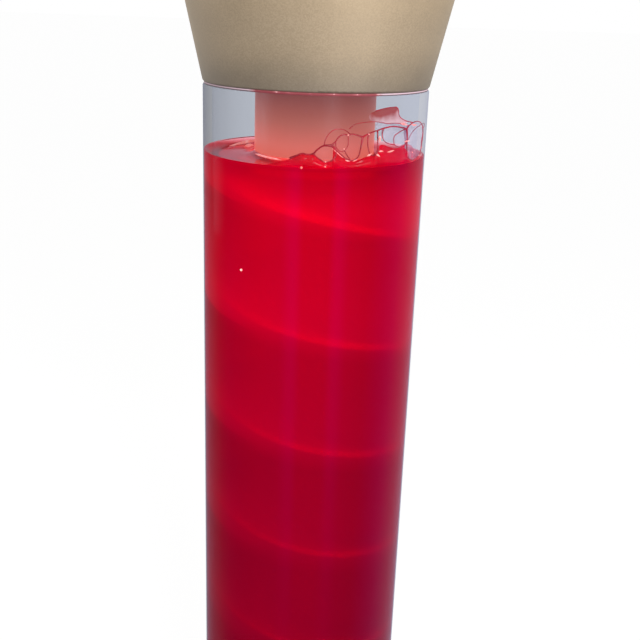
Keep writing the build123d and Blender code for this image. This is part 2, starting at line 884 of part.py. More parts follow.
# Head shell: the base's cone turned over, with a floor for the well and an upper lip
head_top_r = head_r(head_top)
head_lip_r = head_top_r - head_lip_width
with BuildPart() as head_shell:
    turn(
        [
            (head_eye_r, head_bottom),
            (tube_r, head_bottom),
            (head_top_r, head_top),
            (head_lip_r, head_top),
            (head_lip_r, head_top - shell_wall),
            (head_r(head_top - shell_wall) - wall_run, head_top - shell_wall),
            (head_r(well_flange_bottom) - wall_run, well_flange_bottom),
            (head_eye_r, well_flange_bottom),
        ],
        rounds=[0, corner_round, 0, 0, 0, 0, 0, 0],
    )
    bore(bridge_spots, screw_r + screw_gap, head_bottom, well_flange_bottom)
save(head_shell.part, "head_shell")

# Bridge over the well that carries the socket
with BuildPart() as socket_bridge:
    leg_in = bridge_leg_x
    leg_out = bridge_leg_x + bridge_thickness
    foot_top = well_flange_top + bridge_thickness
    with BuildSketch(Plane.XZ):
        with BuildLine():
            Polyline(
                (leg_in, well_flange_top),
                (leg_in, socket_top),
                (-leg_in, socket_top),
                (-leg_in, well_flange_top),
                (-bridge_foot_x, well_flange_top),
                (-bridge_foot_x, foot_top),
                (-leg_out, foot_top),
                (-leg_out, bridge_top),
                (leg_out, bridge_top),
                (leg_out, foot_top),
                (bridge_foot_x, foot_top),
                (bridge_foot_x, well_flange_top),
                close=True,
            )
        make_face()
    extrude(amount=bridge_width / 2, both=True)
    bore(bridge_spots, screw_r + screw_gap, well_flange_top, foot_top)
    bore([(0, 0)], pipe_r + seat_gap, socket_top, bridge_top)
save(socket_bridge.part, "socket_bridge")

screws(
    "bridge_screws",
    bridge_spots,
    well_flange_top + bridge_thickness,
    bridge_thickness + well_wall + shell_wall,
    up=-1,
)

with BuildPart() as lamp_socket:
    turn(
        [
            (socket_bore_r, socket_bottom),
            (socket_r, socket_bottom),
            (socket_r, socket_top),
            (pipe_r, socket_top),
            (pipe_r, socket_top + socket_neck),
            (pipe_bore_r, socket_top + socket_neck),
            (pipe_bore_r, contact_top + socket_tongue),
            (socket_bore_r, contact_top + socket_tongue),
        ],
        rounds=[0, socket_round, socket_round, 0, 0, 0, 0, 0],
    )
save(lamp_socket.part, "lamp_socket")

with BuildPart() as socket_sleeve:
    turn(
        [
            (base_thread_r + running_gap, sleeve_bottom),
            (socket_bore_r - seat_gap, sleeve_bottom),
            (socket_bore_r - seat_gap, contact_top + socket_tongue),
            (0, contact_top + socket_tongue),
            (0, contact_top),
            (base_thread_r + running_gap, contact_top),
        ]
    )
save(socket_sleeve.part, "socket_sleeve")

with BuildPart() as socket_nut:
    with BuildSketch(Plane.XY.offset(bridge_top)):
        RegularPolygon(pipe_nut_flat / 2, 6, major_radius=False)
        Circle(pipe_r + seat_gap, mode=Mode.SUBTRACT)
    extrude(amount=pipe_nut_height)
save(socket_nut.part, "socket_nut")

# Candle bulb hanging tip down: glass envelope and screw base
outer_wall = [(share_r * bulb_r, bulb_tip + share_z * bulb_length) for share_z, share_r in bulb_shares]
inner_wall = [(radius - bulb_wall, height) for radius, height in outer_wall]
with BuildPart() as bulb_glass:
    with BuildSketch(Plane.XZ):
        with BuildLine():
            Line((0, bulb_tip + bulb_wall), (0, bulb_tip))
            Line((0, bulb_tip), (bulb_tip_flat, bulb_tip))
            Spline((bulb_tip_flat, bulb_tip), *outer_wall, (bulb_neck_r, bulb_end))
            Line((bulb_neck_r, bulb_end), (bulb_neck_r - bulb_wall, bulb_end))
            Spline(
                (bulb_tip_flat, bulb_tip + bulb_wall),
                *inner_wall,
                (bulb_neck_r - bulb_wall, bulb_end),
            )
            Line((bulb_tip_flat, bulb_tip + bulb_wall), (0, bulb_tip + bulb_wall))
        make_face()
    revolve(axis=Axis.Z)
save(bulb_glass.part, "bulb_glass")

thread_points = []
for i in range(base_thread_turns):
    turn_bottom = thread_bottom + i * base_thread_pitch
    thread_points.append((base_thread_r, turn_bottom))
    thread_points.append((base_thread_r, turn_bottom + base_thread_pitch / 2))
    thread_points.append((base_thread_r - base_thread_depth, turn_bottom + base_thread_pitch / 2))
    thread_points.append((base_thread_r - base_thread_depth, turn_bottom + base_thread_pitch))
with BuildPart() as bulb_base:
    turn(
        [(0, thread_bottom)]
        + thread_points
        + [
            (base_contact_r, thread_top + base_cone),
            (base_contact_r, contact_top),
            (0, contact_top),
        ]
    )
save(bulb_base.part, "bulb_base")

# Leads from the terminal block to the lamp, the motor and the switch
lamp_turn_z = pipe_top + lamp_lead_r * 2
lamp_over_z = socket_top + socket_neck + lamp_lead_rise
lead(
    "lamp_leads",
    [
        (0, 0, block_top),
        (0, 0, lamp_turn_z),
        (0, lamp_lead_x, lamp_turn_z),
        (0, lamp_lead_x, lamp_over_z),
        (0, 0, lamp_over_z),
        (0, 0, contact_top + socket_tongue),
    ],
    lamp_lead_r,
    lamp_lead_bend,
)
lead(
    "motor_leads",
    [
        (motor_x, 0, motor_bottom - motor_cap_height),
        (motor_x, 0, motor_bottom - motor_cap_height - lead_drop),
        (block_bore_pitch, block_bore_pitch / 2, motor_bottom - motor_cap_height - lead_drop),
        (block_bore_pitch, block_bore_pitch / 2, block_top - lead_depth),
    ],
    thin_lead_r,
    thin_lead_bend,
)
switch_back = switch_plane.offset(-wall_setback - switch_body[2]).origin
lead(
    "switch_leads",
    [
        switch_back,
        switch_back - switch_plane.z_dir * lead_drop,
        (-block_bore_pitch, -block_bore_pitch / 2, switch_back.Z - lead_drop),
        (-block_bore_pitch, -block_bore_pitch / 2, block_top - lead_depth),
    ],
    thin_lead_r,
    thin_lead_bend,
)

# Vented lid that lifts off for the bulb, with its knob
lid_edge = head_top + lid_rim
dome_r = (head_top_r**2 + lid_rise**2) / (2 * lid_rise)
skirt_r = head_lip_r - lid_gap


def dome(radius):
    """Height of the lid's outer face at a radius."""
    return lid_edge + lid_rise - dome_r + math.sqrt(dome_r**2 - radius**2)


with BuildPart() as head_lid:
    hole_r = screw_r + screw_gap
    wall_r = skirt_r - lid_wall
    flat_top = dome(knob_neck_r)
    with BuildSketch(Plane.XZ):
        with BuildLine():
            Polyline((hole_r, flat_top), (knob_neck_r, flat_top))
            ThreePointArc(
                (knob_neck_r, flat_top),
                (head_top_r / 2, dome(head_top_r / 2)),
                (head_top_r, lid_edge),
            )
            Polyline(
                (head_top_r, lid_edge),
                (head_top_r, head_top),
                (skirt_r, head_top),
                (skirt_r, head_top - lid_skirt),
                (wall_r, head_top - lid_skirt),
                (wall_r, dome(wall_r) - lid_wall),
            )
            ThreePointArc(
                (wall_r, dome(wall_r) - lid_wall),
                (wall_r / 2, dome(wall_r / 2) - lid_wall),
                (knob_neck_r, flat_top - lid_wall),
            )
            Polyline(
                (knob_neck_r, flat_top - lid_wall), (hole_r, flat_top - lid_wall), (hole_r, flat_top)
            )
        make_face()
    revolve(axis=Axis.Z)
    with BuildSketch(Plane.XY.offset(head_top)):
        with PolarLocations(vent_circle_r, vent_count):
            SlotOverall(vent_length, vent_width)
    extrude(amount=lid_rim + lid_rise, mode=Mode.SUBTRACT)
save(head_lid.part, "head_lid")

with BuildPart() as lid_knob:
    turn(
        [
            (0, flat_top),
            (knob_neck_r, flat_top),
            (knob_neck_r, flat_top + knob_neck),
            (knob_r, flat_top + knob_neck),
            (knob_r, flat_top + knob_neck + knob_head),
            (0, flat_top + knob_neck + knob_head),
        ],
        rounds=[0, 0, knob_neck_round, knob_round, knob_round, 0],
    )
    bore([(0, 0)], screw_r + screw_gap, flat_top, flat_top + knob_thread)
save(lid_knob.part, "lid_knob")

screws("knob_screw", [(0, 0)], flat_top - lid_wall, lid_wall + knob_thread - screw_r)
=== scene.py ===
# %% [markdown]
# # Motion lamp
# A clear tube of red liquid stands between two flared gold cones. An opal well hangs from the
# head into the liquid and lights it from above, and a spiral ramp turns in the liquid.
# The solids come in as a fixed frame. Each step below says what a piece or finish is on the real
# lamp, how it could be made, and why it is made this way.

# %% Load the frame
import json
import math

import bpy
from mathutils import Matrix, Vector


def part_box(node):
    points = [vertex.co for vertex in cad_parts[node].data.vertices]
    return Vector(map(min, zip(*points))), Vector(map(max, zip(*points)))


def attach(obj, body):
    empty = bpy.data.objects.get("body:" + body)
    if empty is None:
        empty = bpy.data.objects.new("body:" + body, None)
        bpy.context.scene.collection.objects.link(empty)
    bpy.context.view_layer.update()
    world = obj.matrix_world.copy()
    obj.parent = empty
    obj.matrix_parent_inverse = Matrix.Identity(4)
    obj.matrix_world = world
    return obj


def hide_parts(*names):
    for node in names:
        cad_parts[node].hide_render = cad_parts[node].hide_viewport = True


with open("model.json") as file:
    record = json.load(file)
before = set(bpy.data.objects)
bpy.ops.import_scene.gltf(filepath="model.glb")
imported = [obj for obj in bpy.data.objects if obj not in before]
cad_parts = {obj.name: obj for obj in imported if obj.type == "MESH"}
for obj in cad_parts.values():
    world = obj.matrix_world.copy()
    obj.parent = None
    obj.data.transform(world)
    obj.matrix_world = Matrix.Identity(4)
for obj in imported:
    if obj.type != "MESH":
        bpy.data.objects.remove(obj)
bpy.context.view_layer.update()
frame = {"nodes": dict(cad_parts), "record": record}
nodes = frame["nodes"]

# %% [markdown]
# ## Camera
# The picture is taken from close by, a little above the tube's rim and looking down along it, so
# the tube narrows towards the bottom of the frame. The place, the three turns and the focal
# length come from a fit of the tube's two edges, its rim and the liquid line.

# %% Camera
camera_place = Vector((0.0, -0.4238, 0.5147))
yaw, pitch, roll = (math.radians(a) for a in (0.725, 18.712, 2.013))
frame_px, focal_px, sensor_mm = 640, 928.7, 36.0
ahead = math.cos(pitch)
forward = Vector((math.sin(yaw) * ahead, math.cos(yaw) * ahead, -math.sin(pitch)))
level = Vector((math.cos(yaw), -math.sin(yaw), 0.0))
upright = level.cross(forward)
right = level * math.cos(roll) + upright * math.sin(roll)
above = upright * math.cos(roll) - level * math.sin(roll)
turn_matrix = Matrix((right, above, -forward)).transposed().to_4x4()

camera = bpy.data.objects.new("camera", bpy.data.cameras.new("camera"))
bpy.context.scene.collection.objects.link(camera)
camera.data.sensor_width = sensor_mm
camera.data.lens = focal_px / frame_px * sensor_mm
camera.data.clip_start = 0.01
camera.matrix_world = Matrix.Translation(camera_place) @ turn_matrix
bpy.context.scene.camera = camera
print("camera lens:", round(camera.data.lens, 2), "mm")

# %% [markdown]
# ## Shader sums
# Node trees are easier to read as sums. A small class wraps an output socket, so that plus, minus
# and times between sockets add Math nodes.


# %% Shader sums
class Value:
    """An output socket; sums with it add Math nodes to its finish."""

    def __init__(self, finish, socket):
        self.finish = finish
        self.socket = socket

    def out(self, name):
        return Value(self.finish, self.socket.node.outputs[name])

    def maths(self, operation, first, second=0.0):
        return self.finish.node("ShaderNodeMath", {"operation": operation}, {0: first, 1: second})

    def __add__(self, other):
        return self.maths("ADD", self, other)

    def __radd__(self, other):
        return self.maths("ADD", other, self)

    def __sub__(self, other):
        return self.maths("SUBTRACT", self, other)

    def __rsub__(self, other):
        return self.maths("SUBTRACT", other, self)

    def __mul__(self, other):
        return self.maths("MULTIPLY", self, other)

    def __rmul__(self, other):
        return self.maths("MULTIPLY", other, self)

    def __pow__(self, other):
        return self.maths("POWER", self, other)

    def __gt__(self, other):
        return self.maths("GREATER_THAN", self, other)

    def __abs__(self):
        return self.maths("ABSOLUTE", self)


print("made the class", Value.__name__)

# %% [markdown]
# ## Finishes
# A finish is a material's node tree. One method makes any node: it takes the node's type, its
# settings, and the values or links of its sockets. The others are short names for what the lamp
# needs often: noise, ramps, mixes, and where a point is on the lamp.


# %% Finishes
class Finish:
    """A material's node tree."""

    def __init__(self, name, tree=None):
        self.material = None
        if tree is None:
            self.material = bpy.data.materials.new(name)
            self.material.use_nodes = True
            tree = self.material.node_tree
        tree.nodes.clear()
        self.tree = tree

    def node(self, kind, settings=None, sockets=None):
        """Any node, as its first output."""
        made = self.tree.nodes.new(kind)
        for key, value in (settings or {}).items():
            if key == "stops":
                ramp = made.color_ramp
                while len(ramp.elements) < len(value):
                    ramp.elements.new(0.5)
                for element, (place, colour) in zip(ramp.elements, value):
                    element.position = place
                    element.color = (*colour, 1.0)
            else:
                setattr(made, key, value)
        for key, value in (sockets or {}).items():
            if isinstance(value, Value):
                self.tree.links.new(value.socket, made.inputs[key])
            else:
                made.inputs[key].default_value = value
        return Value(self, made.outputs[0]) if made.outputs else None

    def place(self):
        return self.node("ShaderNodeTexCoord").out("Object")

    def axes(self, vector=None):
        """A vector's three numbers, of which X comes first; the place, if no vector is given."""
        return self.node("ShaderNodeSeparateXYZ", None, {"Vector": vector or self.place()})

    def reach(self):
        """The distance from the lamp's axis."""
        spot = self.axes()
        flat = self.node("ShaderNodeCombineXYZ", None, {"X": spot, "Y": spot.out("Y")})
        return self.node("ShaderNodeVectorMath", {"operation": "LENGTH"}, {0: flat}).out("Value")

    def heading(self):
        """The angle round the lamp's axis, from the front towards +X."""
        spot = self.axes()
        return spot.maths("ARCTAN2", spot, 0.0 - spot.out("Y"))

    def rise(self, name):
        """The height over a solid's foot, as a share of the solid's height."""
        low, high = (corner.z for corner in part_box(name))
        return (self.axes().out("Z") - low) * (1 / (high - low))

    def upward(self):
        """One where the surface looks up, and minus one where it looks down."""
        return self.axes(self.node("ShaderNodeNewGeometry").out("Normal")).out("Z")

    def edge_on(self):
        """Nought where the surface is met square, and one where it is met edge on."""
        return self.node("ShaderNodeLayerWeight", None, {"Blend": 0.5}).out("Facing")

    def noise(self, scale, detail=3.0, rough=0.5, vector=None):
        sockets = {"Vector": vector or self.place(), "Scale": scale, "Detail": detail, "Roughness": rough}
        return self.node("ShaderNodeTexNoise", None, sockets)

    def cells(self, scale):
        """One chance number for each small cell of the surface."""
        cell = self.node("ShaderNodeTexVoronoi", None, {"Vector": self.place(), "Scale": scale})
        return self.axes(cell.out("Color"))

    def ramp(self, factor, stops, ease="LINEAR"):
        """Tones along a factor; a tone is a colour, or one number for a grey."""
        colours = [(place, tone if isinstance(tone, (list, tuple)) else (tone,) * 3) for place, tone in stops]
        made = self.node("ShaderNodeValToRGB", {"stops": colours}, {"Fac": factor})
        made.socket.node.color_ramp.interpolation = ease
        return made

    def mix(self, first, second, share=1.0, kind="MULTIPLY"):
        """Two colours as one."""
        colours = {"Fac": share, "Color1": first, "Color2": second}
        return self.node("ShaderNodeMixRGB", {"blend_type": kind}, colours)

    def layer(self, share, under, over):
        """One shader over another, by a share."""
        return self.node("ShaderNodeMixShader", None, {0: share, 1: under, 2: over})

    def bump(self, height, strength, distance):
        sockets = {"Height": height, "Strength": strength, "Distance": distance}
        return self.node("ShaderNodeBump", None, sockets)

    def skin(self, **sockets):
        names = {key.replace("_", " ").title().replace("Ior", "IOR"): value for key, value in sockets.items()}
        return self.node("ShaderNodeBsdfPrincipled", None, names)

    def done(self, surface, volume=None):
        ends = {"Surface": surface}
        if volume:
            ends["Volume"] = volume
        self.node("ShaderNodeOutputMaterial", None, ends)
        return self.material


print("made the class", Finish.__name__)

# %% [markdown]
# The record names a material slot for each solid. A finish goes on all the solids of a slot at
# once, so that pieces of the same stuff look alike.


# %% Solids of a slot
def slot_nodes(slot):
    """The names of the solids that a material slot of the record covers."""
    return [part["node"] for part in frame["record"]["subparts"] if part["material_slot"] == slot]


def paint(material, slot):
    """Give the solids of a slot a finish."""
    names = slot_nodes(slot)
    for name in names:
        nodes[name].data.materials.clear()
        nodes[name].data.materials.append(material)
    print(material.name, "on", ", ".join(names))


# %% [markdown]
# ## Stage
# The lamp stands on a plain white floor. The white comes from the floor and the world for the rays
# that the camera, the gloss and the clear parts send out, so it adds no light to the lamp. Other
# rays meet a softer world, and near the base the floor glows less, so that it keeps the lamp's
# shadow.


# %% Stage
def sight(finish):
    """One where a ray comes from the camera, from gloss or through a clear part."""
    path = finish.node("ShaderNodeLightPath")
    seen = path.out("Is Camera Ray") + path.out("Is Glossy Ray") + path.out("Is Transmission Ray")
    return seen > 0.5


world = bpy.data.worlds.new("studio")
bpy.context.scene.world = world
world.use_nodes = True
sky = Finish("studio", world.node_tree)
white = sky.node("ShaderNodeBackground", None, {"Color": (1.0, 1.0, 1.0, 1.0), "Strength": 1.0})
soft = sky.node("ShaderNodeBackground", None, {"Color": (1.0, 0.99, 0.98, 1.0), "Strength": 0.3})
sky.node("ShaderNodeOutputWorld", None, {"Surface": sky.layer(sight(sky), soft, white)})

floor_white = Finish("floor_white")
matt = floor_white.skin(base_color=(0.88, 0.88, 0.88, 1.0), roughness=0.9, specular_ior_level=0.1)
glow = floor_white.node("ShaderNodeEmission", None, {"Color": (1.0, 1.0, 1.0, 1.0), "Strength": 1.12})
shadow_reach, clean_reach = 0.08, 0.24
white_share = floor_white.ramp(floor_white.reach(), [(shadow_reach, 0.35), (clean_reach, 0.84)], "EASE")
floor_mix = floor_white.layer(sight(floor_white) * white_share, matt, glow)

floor_drop = 0.0005
bpy.ops.object.select_all(action="DESELECT")
bpy.ops.mesh.primitive_plane_add(size=60.0, location=(0, 0, -floor_drop))
floor = bpy.context.active_object
floor.name = "floor"
floor.data.materials.append(floor_white.done(floor_mix))
print("stage:", floor.name, "under", world.name)

# %% [markdown]
# ## Lights
# Three soft boxes light the lamp. The key is high at the front and the flank low at the right, and
# together they lay a broad soft highlight on the head's satin paint. A weak rim light stands at
# the back left.


# %% Lights
def softbox(name, place, aim, size, power):
    """A soft rectangular light that looks at a point."""
    light = bpy.data.lights.new(name, "AREA")
    light.shape = "RECTANGLE"
    light.size, light.size_y = size
    light.energy = power
    lamp = bpy.data.objects.new(name, light)
    bpy.context.scene.collection.objects.link(lamp)
    lamp.location = place
    lamp.rotation_euler = (Vector(aim) - Vector(place)).to_track_quat("-Z", "Y").to_euler()
    lamp.visible_camera = False


head_low, head_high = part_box("head_shell")
head_middle = head_low.lerp(head_high, 0.5)
upper_tube = (0, 0, 0.4)
softbox("key_box", (0.25, -0.8, 1.0), head_middle, (0.3, 0.3), 9.0)
softbox("flank_box", (0.62, -0.85, 0.12), head_middle, (0.5, 0.4), 7.0)
softbox("rim_box", (-1.0, 0.4, 0.55), upper_tube, (0.4, 0.8), 2.0)

# %% [markdown]
# ## Gold flake paint
# Both cones and the lid wear a satin champagne paint. Its metal flakes are far under a millimetre
# and show as a fine grain of lighter and darker points. A cell texture gives each flake its own
# tone and gloss, a noise clouds the colour, and a small bump keeps the skin from being perfectly
# smooth. Along the edges by the tube the paint is darker and greyer: painted shade.

# %% Gold flake paint
tube_low, tube_high = (corner.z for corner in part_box("clear_tube"))
shade_reach = 0.0625
gold = Finish("gold_flake_paint")
from_middle = abs(gold.axes().out("Z") - (tube_low + tube_high) / 2)
from_tube = (from_middle - (tube_high - tube_low) / 2) * (1 / shade_reach)
# Painted shade: the paint turns darker and greyer towards its edges by the tube.
painted_edge_shade = gold.ramp(
    from_tube + 0.1 * gold.noise(60.0),
    [(0.0, (0.42, 0.45, 0.54)), (0.4, (0.74, 0.76, 0.82)), (1.0, 1.0)],
    "EASE",
)
flake = gold.cells(2100.0)
flake_tone = flake * 0.26 + gold.noise(30.0) * 0.34 + 0.2
flakes = gold.ramp(
    flake_tone, [(0.2, (0.31, 0.23, 0.14)), (0.5, (0.4, 0.3, 0.185)), (0.8, (0.5, 0.385, 0.25))]
)
grain = gold.bump(gold.noise(1500.0, 2.0), 0.12, 0.0001)
gold_skin = gold.skin(
    base_color=gold.mix(flakes, painted_edge_shade), metallic=0.4, roughness=0.54 + 0.12 * flake, normal=grain,
    specular_ior_level=0.4,
)
paint(gold.done(gold_skin), "gold_paint")

# %% [markdown]
# ## Clear tube
# The tube is clear acrylic. What shows is its faint grey cast and the gloss on its outer face,
# which grows towards the edges. Full glass shading would hide the liquid in simple viewers, so
# the wall lets light straight through with a tint, and gloss is mixed in by the facing angle.
# Only the outer face has the gloss: the inner face is wetted by the liquid and vanishes. Two soft
# streaks of painted light run down its front and fade, with a faint trace outside each, and the
# right side has a painted magenta glow.

# %% Painted light in the tube's wall
tube = Finish("clear_acrylic")
haze = tube.noise(60.0)
# Painted light: the wall's film glows in two streaks down the front and in a magenta band on the right side.
streak_middle = 0.04
off_middle = abs(tube.heading() - streak_middle + 0.02 * (haze - 0.5))
streak_glow, trace_glow = (0.06, 0, 0.07), (0.006, 0, 0.012)
painted_light_streaks = tube.ramp(
    off_middle,
    [(0.0, 0.0), (0.11, 0.0), (0.17, streak_glow), (0.21, streak_glow), (0.29, (0.006, 0, 0.01)), (0.5, 0.0),
     (0.8, trace_glow), (0.95, 0.0)],
)
streak_fade = tube.ramp(tube.axes().out("Z"), [(0.22, 0.12), (0.41, 1.0), (0.45, 1.0), (0.456, 0.0)])
painted_side_glow = tube.ramp(
    tube.heading() * (1 / math.pi),
    [(0.16, 0.0), (0.27, (0.012, 0, 0.078)), (0.36, (0.008, 0, 0.055)), (0.55, 0.0)],
)
painted_wall_light = tube.mix(tube.mix(painted_light_streaks, streak_fade), painted_side_glow, kind="ADD")
print("wall light nodes:", len(tube.tree.nodes))

# %% [markdown]
# The dark film is a little heavier on the left, a painted shade, and the gloss a little brighter on
# the right, a painted highlight. Both are shares that mix a near-black film and a glossy layer over
# the clear wall.

# %% Clear tube
tube_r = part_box("clear_tube")[1].x
wall_skin = 0.0015
outer_face = tube.reach() > tube_r - wall_skin
edge_on = tube.edge_on()
# Painted shade: the dark film is heavier on the left side. Painted highlight: the gloss is stronger on the
# right side.
shaded_side = 0.5 - 0.5 * (tube.axes() * (1 / tube_r))
tint_and_side_shade = 0.25 + (0.4 * shaded_side - 0.09) * edge_on**1.4
clear = tube.node("ShaderNodeBsdfTransparent", None, {"Color": (0.955, 0.97, 1.0, 1)})
tint_and_shade_film = tube.skin(
    base_color=(0.001, 0.001, 0.004, 1), roughness=0.3, specular_ior_level=0.0, emission_color=painted_wall_light,
    emission_strength=1.0,
)
shaded_wall = tube.layer(tint_and_side_shade * outer_face, clear, tint_and_shade_film)
shine = tube.node(
    "ShaderNodeBsdfAnisotropic", None, {"Color": (0.44, 0.46, 0.6, 1), "Roughness": 0.03 + 0.05 * haze}
)
gloss_with_side_highlight = (0.5 * edge_on**6.0 + 0.2 * edge_on**4.0 * (1.0 - shaded_side)) * outer_face
paint(tube.done(tube.layer(gloss_with_side_highlight, shaded_wall, shine)), "clear_acrylic")

# %% [markdown]
# ## Opal well
# The opal cup is lit from inside by the bulb and from outside by the red liquid. It is brightest
# low down, near the bulb's tip, and falls to a brownish pink under the head. Its foot stands in
# the liquid and shows deep red.

# %% Opal well
opal = Finish("opal_acrylic")
opal_light = opal.ramp(
    opal.rise("light_well") + 0.08 * (opal.noise(40.0) - 0.5),
    [(0.12, (0.3, 0.01, 0.01)), (0.2, (0.95, 0.17, 0.12)), (0.32, (0.88, 0.185, 0.14)),
     (0.55, (0.56, 0.145, 0.11)), (0.9, (0.22, 0.055, 0.056))],
)
opal_skin = opal.skin(
    base_color=(0.09, 0.05, 0.045, 1), roughness=0.35 + 0.1 * opal.noise(200.0), emission_color=opal_light,
    emission_strength=1.0, specular_ior_level=0.3,
)
paint(opal.done(opal_skin), "opal_acrylic")

# %% [markdown]
# ## Spiral ramp and hub
# The ramp is moulded white plastic in red light that comes from above: its upper side is bright,
# its underside is dark, and all of it fades with depth.

# %% Spiral ramp and hub
lit = Finish("lit_white_plastic")
fade = lit.ramp(
    lit.rise("red_liquid") + 0.05 * (lit.noise(30.0) - 0.5),
    [(0.0, 0.2), (0.45, 0.3), (0.75, 0.62), (0.95, 1.0)],
)
lit_side = lit.ramp(
    lit.upward() * 0.5 + 0.5, [(0.1, (0.05, 0.01, 0.02)), (0.5, (0.5, 0.1, 0.08)), (0.95, (1.0, 0.3, 0.2))]
)
lit_skin = lit.skin(
    base_color=(0.5, 0.42, 0.42, 1), roughness=0.45 + 0.1 * lit.noise(150.0),
    emission_color=lit.mix(fade, lit_side), emission_strength=0.28,
)
paint(lit.done(lit_skin), "white_plastic")

# %% [markdown]
# ## Rim gasket
# A soft clear ring seals the tube's rim under the head. The tube carries light up into its middle,
# so it shows as a fine pale line of painted light between two dark lines of painted shade. In front
# of the well it picks up the well's red and sparkles, painted as glowing glints. The height in the
# ring and the distance from the middle mix the tones.

# %% Rim gasket
rim = Finish("rim_silicone")
clear_side = rim.ramp(abs(rim.axes()) * (1 / tube_r), [(0.48, 0.0), (0.54, 1.0)])
lit_line = rim.ramp(rim.rise("tube_gasket"), [(0.35, 0.0), (0.5, 1.0), (0.8, 1.0), (0.95, 0.0)])
# Painted shade: the ring's upper and lower edges are dark. Painted light: the middle line and its sparkles
# glow.
painted_shade_edges = rim.mix((0.17, 0.03, 0.04, 1), (0.1, 0.065, 0.08, 1), clear_side, "MIX")
painted_sparkle = rim.ramp(
    rim.noise(260.0, 2.0), [(0.45, (0.2, 0.05, 0.056)), (0.62, (0.3, 0.09, 0.1)), (0.7, (0.75, 0.42, 0.42))]
)
line_colour = rim.mix(painted_sparkle, (0.5, 0.37, 0.41, 1), clear_side, "MIX")
rim_colour = rim.mix(painted_shade_edges, line_colour, lit_line, "MIX")
rim_skin = rim.skin(
    base_color=rim_colour, roughness=0.45 + 0.2 * rim.noise(500.0), specular_ior_level=0.1,
    emission_color=rim_colour, emission_strength=0.3,
)
paint(rim.done(rim_skin), "rim_silicone")

# %% [markdown]
# ## Moulded plastics and rubber
# The switch body, socket, inlet, terminal block, gears and bushes are injection moulded, and the
# feet and seals are rubber. They share one recipe: a base colour with a slight cloud, a fine
# spark-eroded grain in the bump and an uneven gloss.


# %% Moulded plastics and rubber
gloss_spread = 0.15


def moulded(name, colour, rough, grain_size, grain_depth):
    """A moulded finish with cloudy colour, fine grain and uneven gloss."""
    made = Finish(name)
    dark, light = ([channel * share for channel in colour] for share in (0.8, 1.15))
    tone = made.ramp(made.noise(45.0, 4.0), [(0.3, dark), (0.7, light)])
    dents = made.bump(made.noise(1 / grain_size, 2.0), 0.4, grain_depth)
    uneven = rough - gloss_spread / 2 + gloss_spread * made.noise(120.0)
    return made.done(made.skin(base_color=tone, roughness=uneven, normal=dents))


moulded_rows = (  # finish, slot, colour, roughness, grain size and depth
    ("black_plastic", "black_plastic", (0.022, 0.022, 0.024), 0.42, 0.0006, 0.00004),
    ("cream_plastic", "cream_plastic", (0.72, 0.66, 0.52), 0.45, 0.0006, 0.00004),
    ("natural_nylon", "nylon", (0.74, 0.71, 0.63), 0.5, 0.0006, 0.00004),
    ("black_rubber", "black_rubber", (0.02, 0.02, 0.021), 0.75, 0.0009, 0.00008),
    ("lead_sleeve", "lead_sleeve", (0.2, 0.14, 0.085), 0.35, 0.0006, 0.00004),
    ("ferrite_grey", "ferrite", (0.045, 0.045, 0.05), 0.6, 0.0004, 0.00006),
    ("cast_iron_paint", "ballast_iron", (0.05, 0.05, 0.052), 0.6, 0.0022, 0.0003),
)
for finish_name, slot, *look in moulded_rows:
    paint(moulded(finish_name, *look), slot)

# %% [markdown]
# ## Metals
# Screws, plate, motor case and bridge are zinc plated: a cool grey with faint crystals. The switch
# nut and lever are bright chrome. Nuts, pipe and knob are brass, turned on a lathe, so fine
# rings run round them.


# %% Metals
def metal(name, dark, light, rough, pattern, bump_depth):
    """A bare metal; pattern gives a number from 0 to 1 for its tone and relief."""
    made = Finish(name)
    figure = pattern(made)
    tone = made.ramp(figure, [(0.25, dark), (0.75, light)])
    relief = made.bump(figure, 0.3, bump_depth)
    uneven = rough + 0.14 * (made.noise(90.0, 4.0) - 0.5)
    return made.done(made.skin(base_color=tone, metallic=1.0, roughness=uneven, normal=relief))


def crystals(made):
    return made.cells(420.0) * 0.5 + made.noise(60.0, 4.0) * 0.5


def polish(made):
    return made.noise(35.0, 5.0, 0.65)


def lathe_rings(made):
    rings_per_metre = 2600.0
    along, out = made.axes().out("Z") * rings_per_metre, made.reach() * rings_per_metre
    line = made.node("ShaderNodeCombineXYZ", None, {"X": out, "Y": along})
    return made.noise(1.0, 2.0, vector=line) * 0.6 + made.noise(50.0) * 0.4


metal_rows = (  # finish, slot, dark and light tone, roughness, pattern, relief
    ("zinc_steel", "zinc_steel", (0.42, 0.43, 0.44), (0.62, 0.62, 0.61), 0.36, crystals, 0.00003),
    ("bright_chrome", "bright_chrome", (0.6, 0.61, 0.63), (0.72, 0.72, 0.73), 0.12, polish, 0.00001),
    ("turned_brass", "brass", (0.5, 0.34, 0.13), (0.68, 0.5, 0.22), 0.28, lathe_rings, 0.00003),
)
for finish_name, slot, *look in metal_rows:
    paint(metal(finish_name, *look), slot)

# %% [markdown]
# ## Bulb
# The candle bulb is frosted and lit. Its glow is warm, strongest round the middle of the glass.

# %% Bulb
frost = Finish("frosted_glass")
warm = frost.ramp(
    frost.rise("bulb_glass") + 0.06 * (frost.noise(90.0) - 0.5),
    [(0.0, (0.8, 0.5, 0.28)), (0.45, (1.0, 0.86, 0.62)), (1.0, (0.55, 0.38, 0.24))],
)
frost_skin = frost.skin(
    base_color=(0.85, 0.8, 0.72, 1), roughness=0.5 + 0.1 * frost.noise(400.0), emission_color=warm,
    emission_strength=0.9,
)
paint(frost.done(frost_skin), "frosted_glass")

# %% [markdown]
# ## Red liquid
# The liquid fills the tube to a little under its rim, and climbs a few millimetres where it wets
# the tube and the well. A circle is extruded ring by ring along the outline, as on a lathe. The
# piece is drawn out to just under the tube's outer face, because the tube's wall and the liquid
# bend light almost alike, and the liquid looks as wide as the tube.


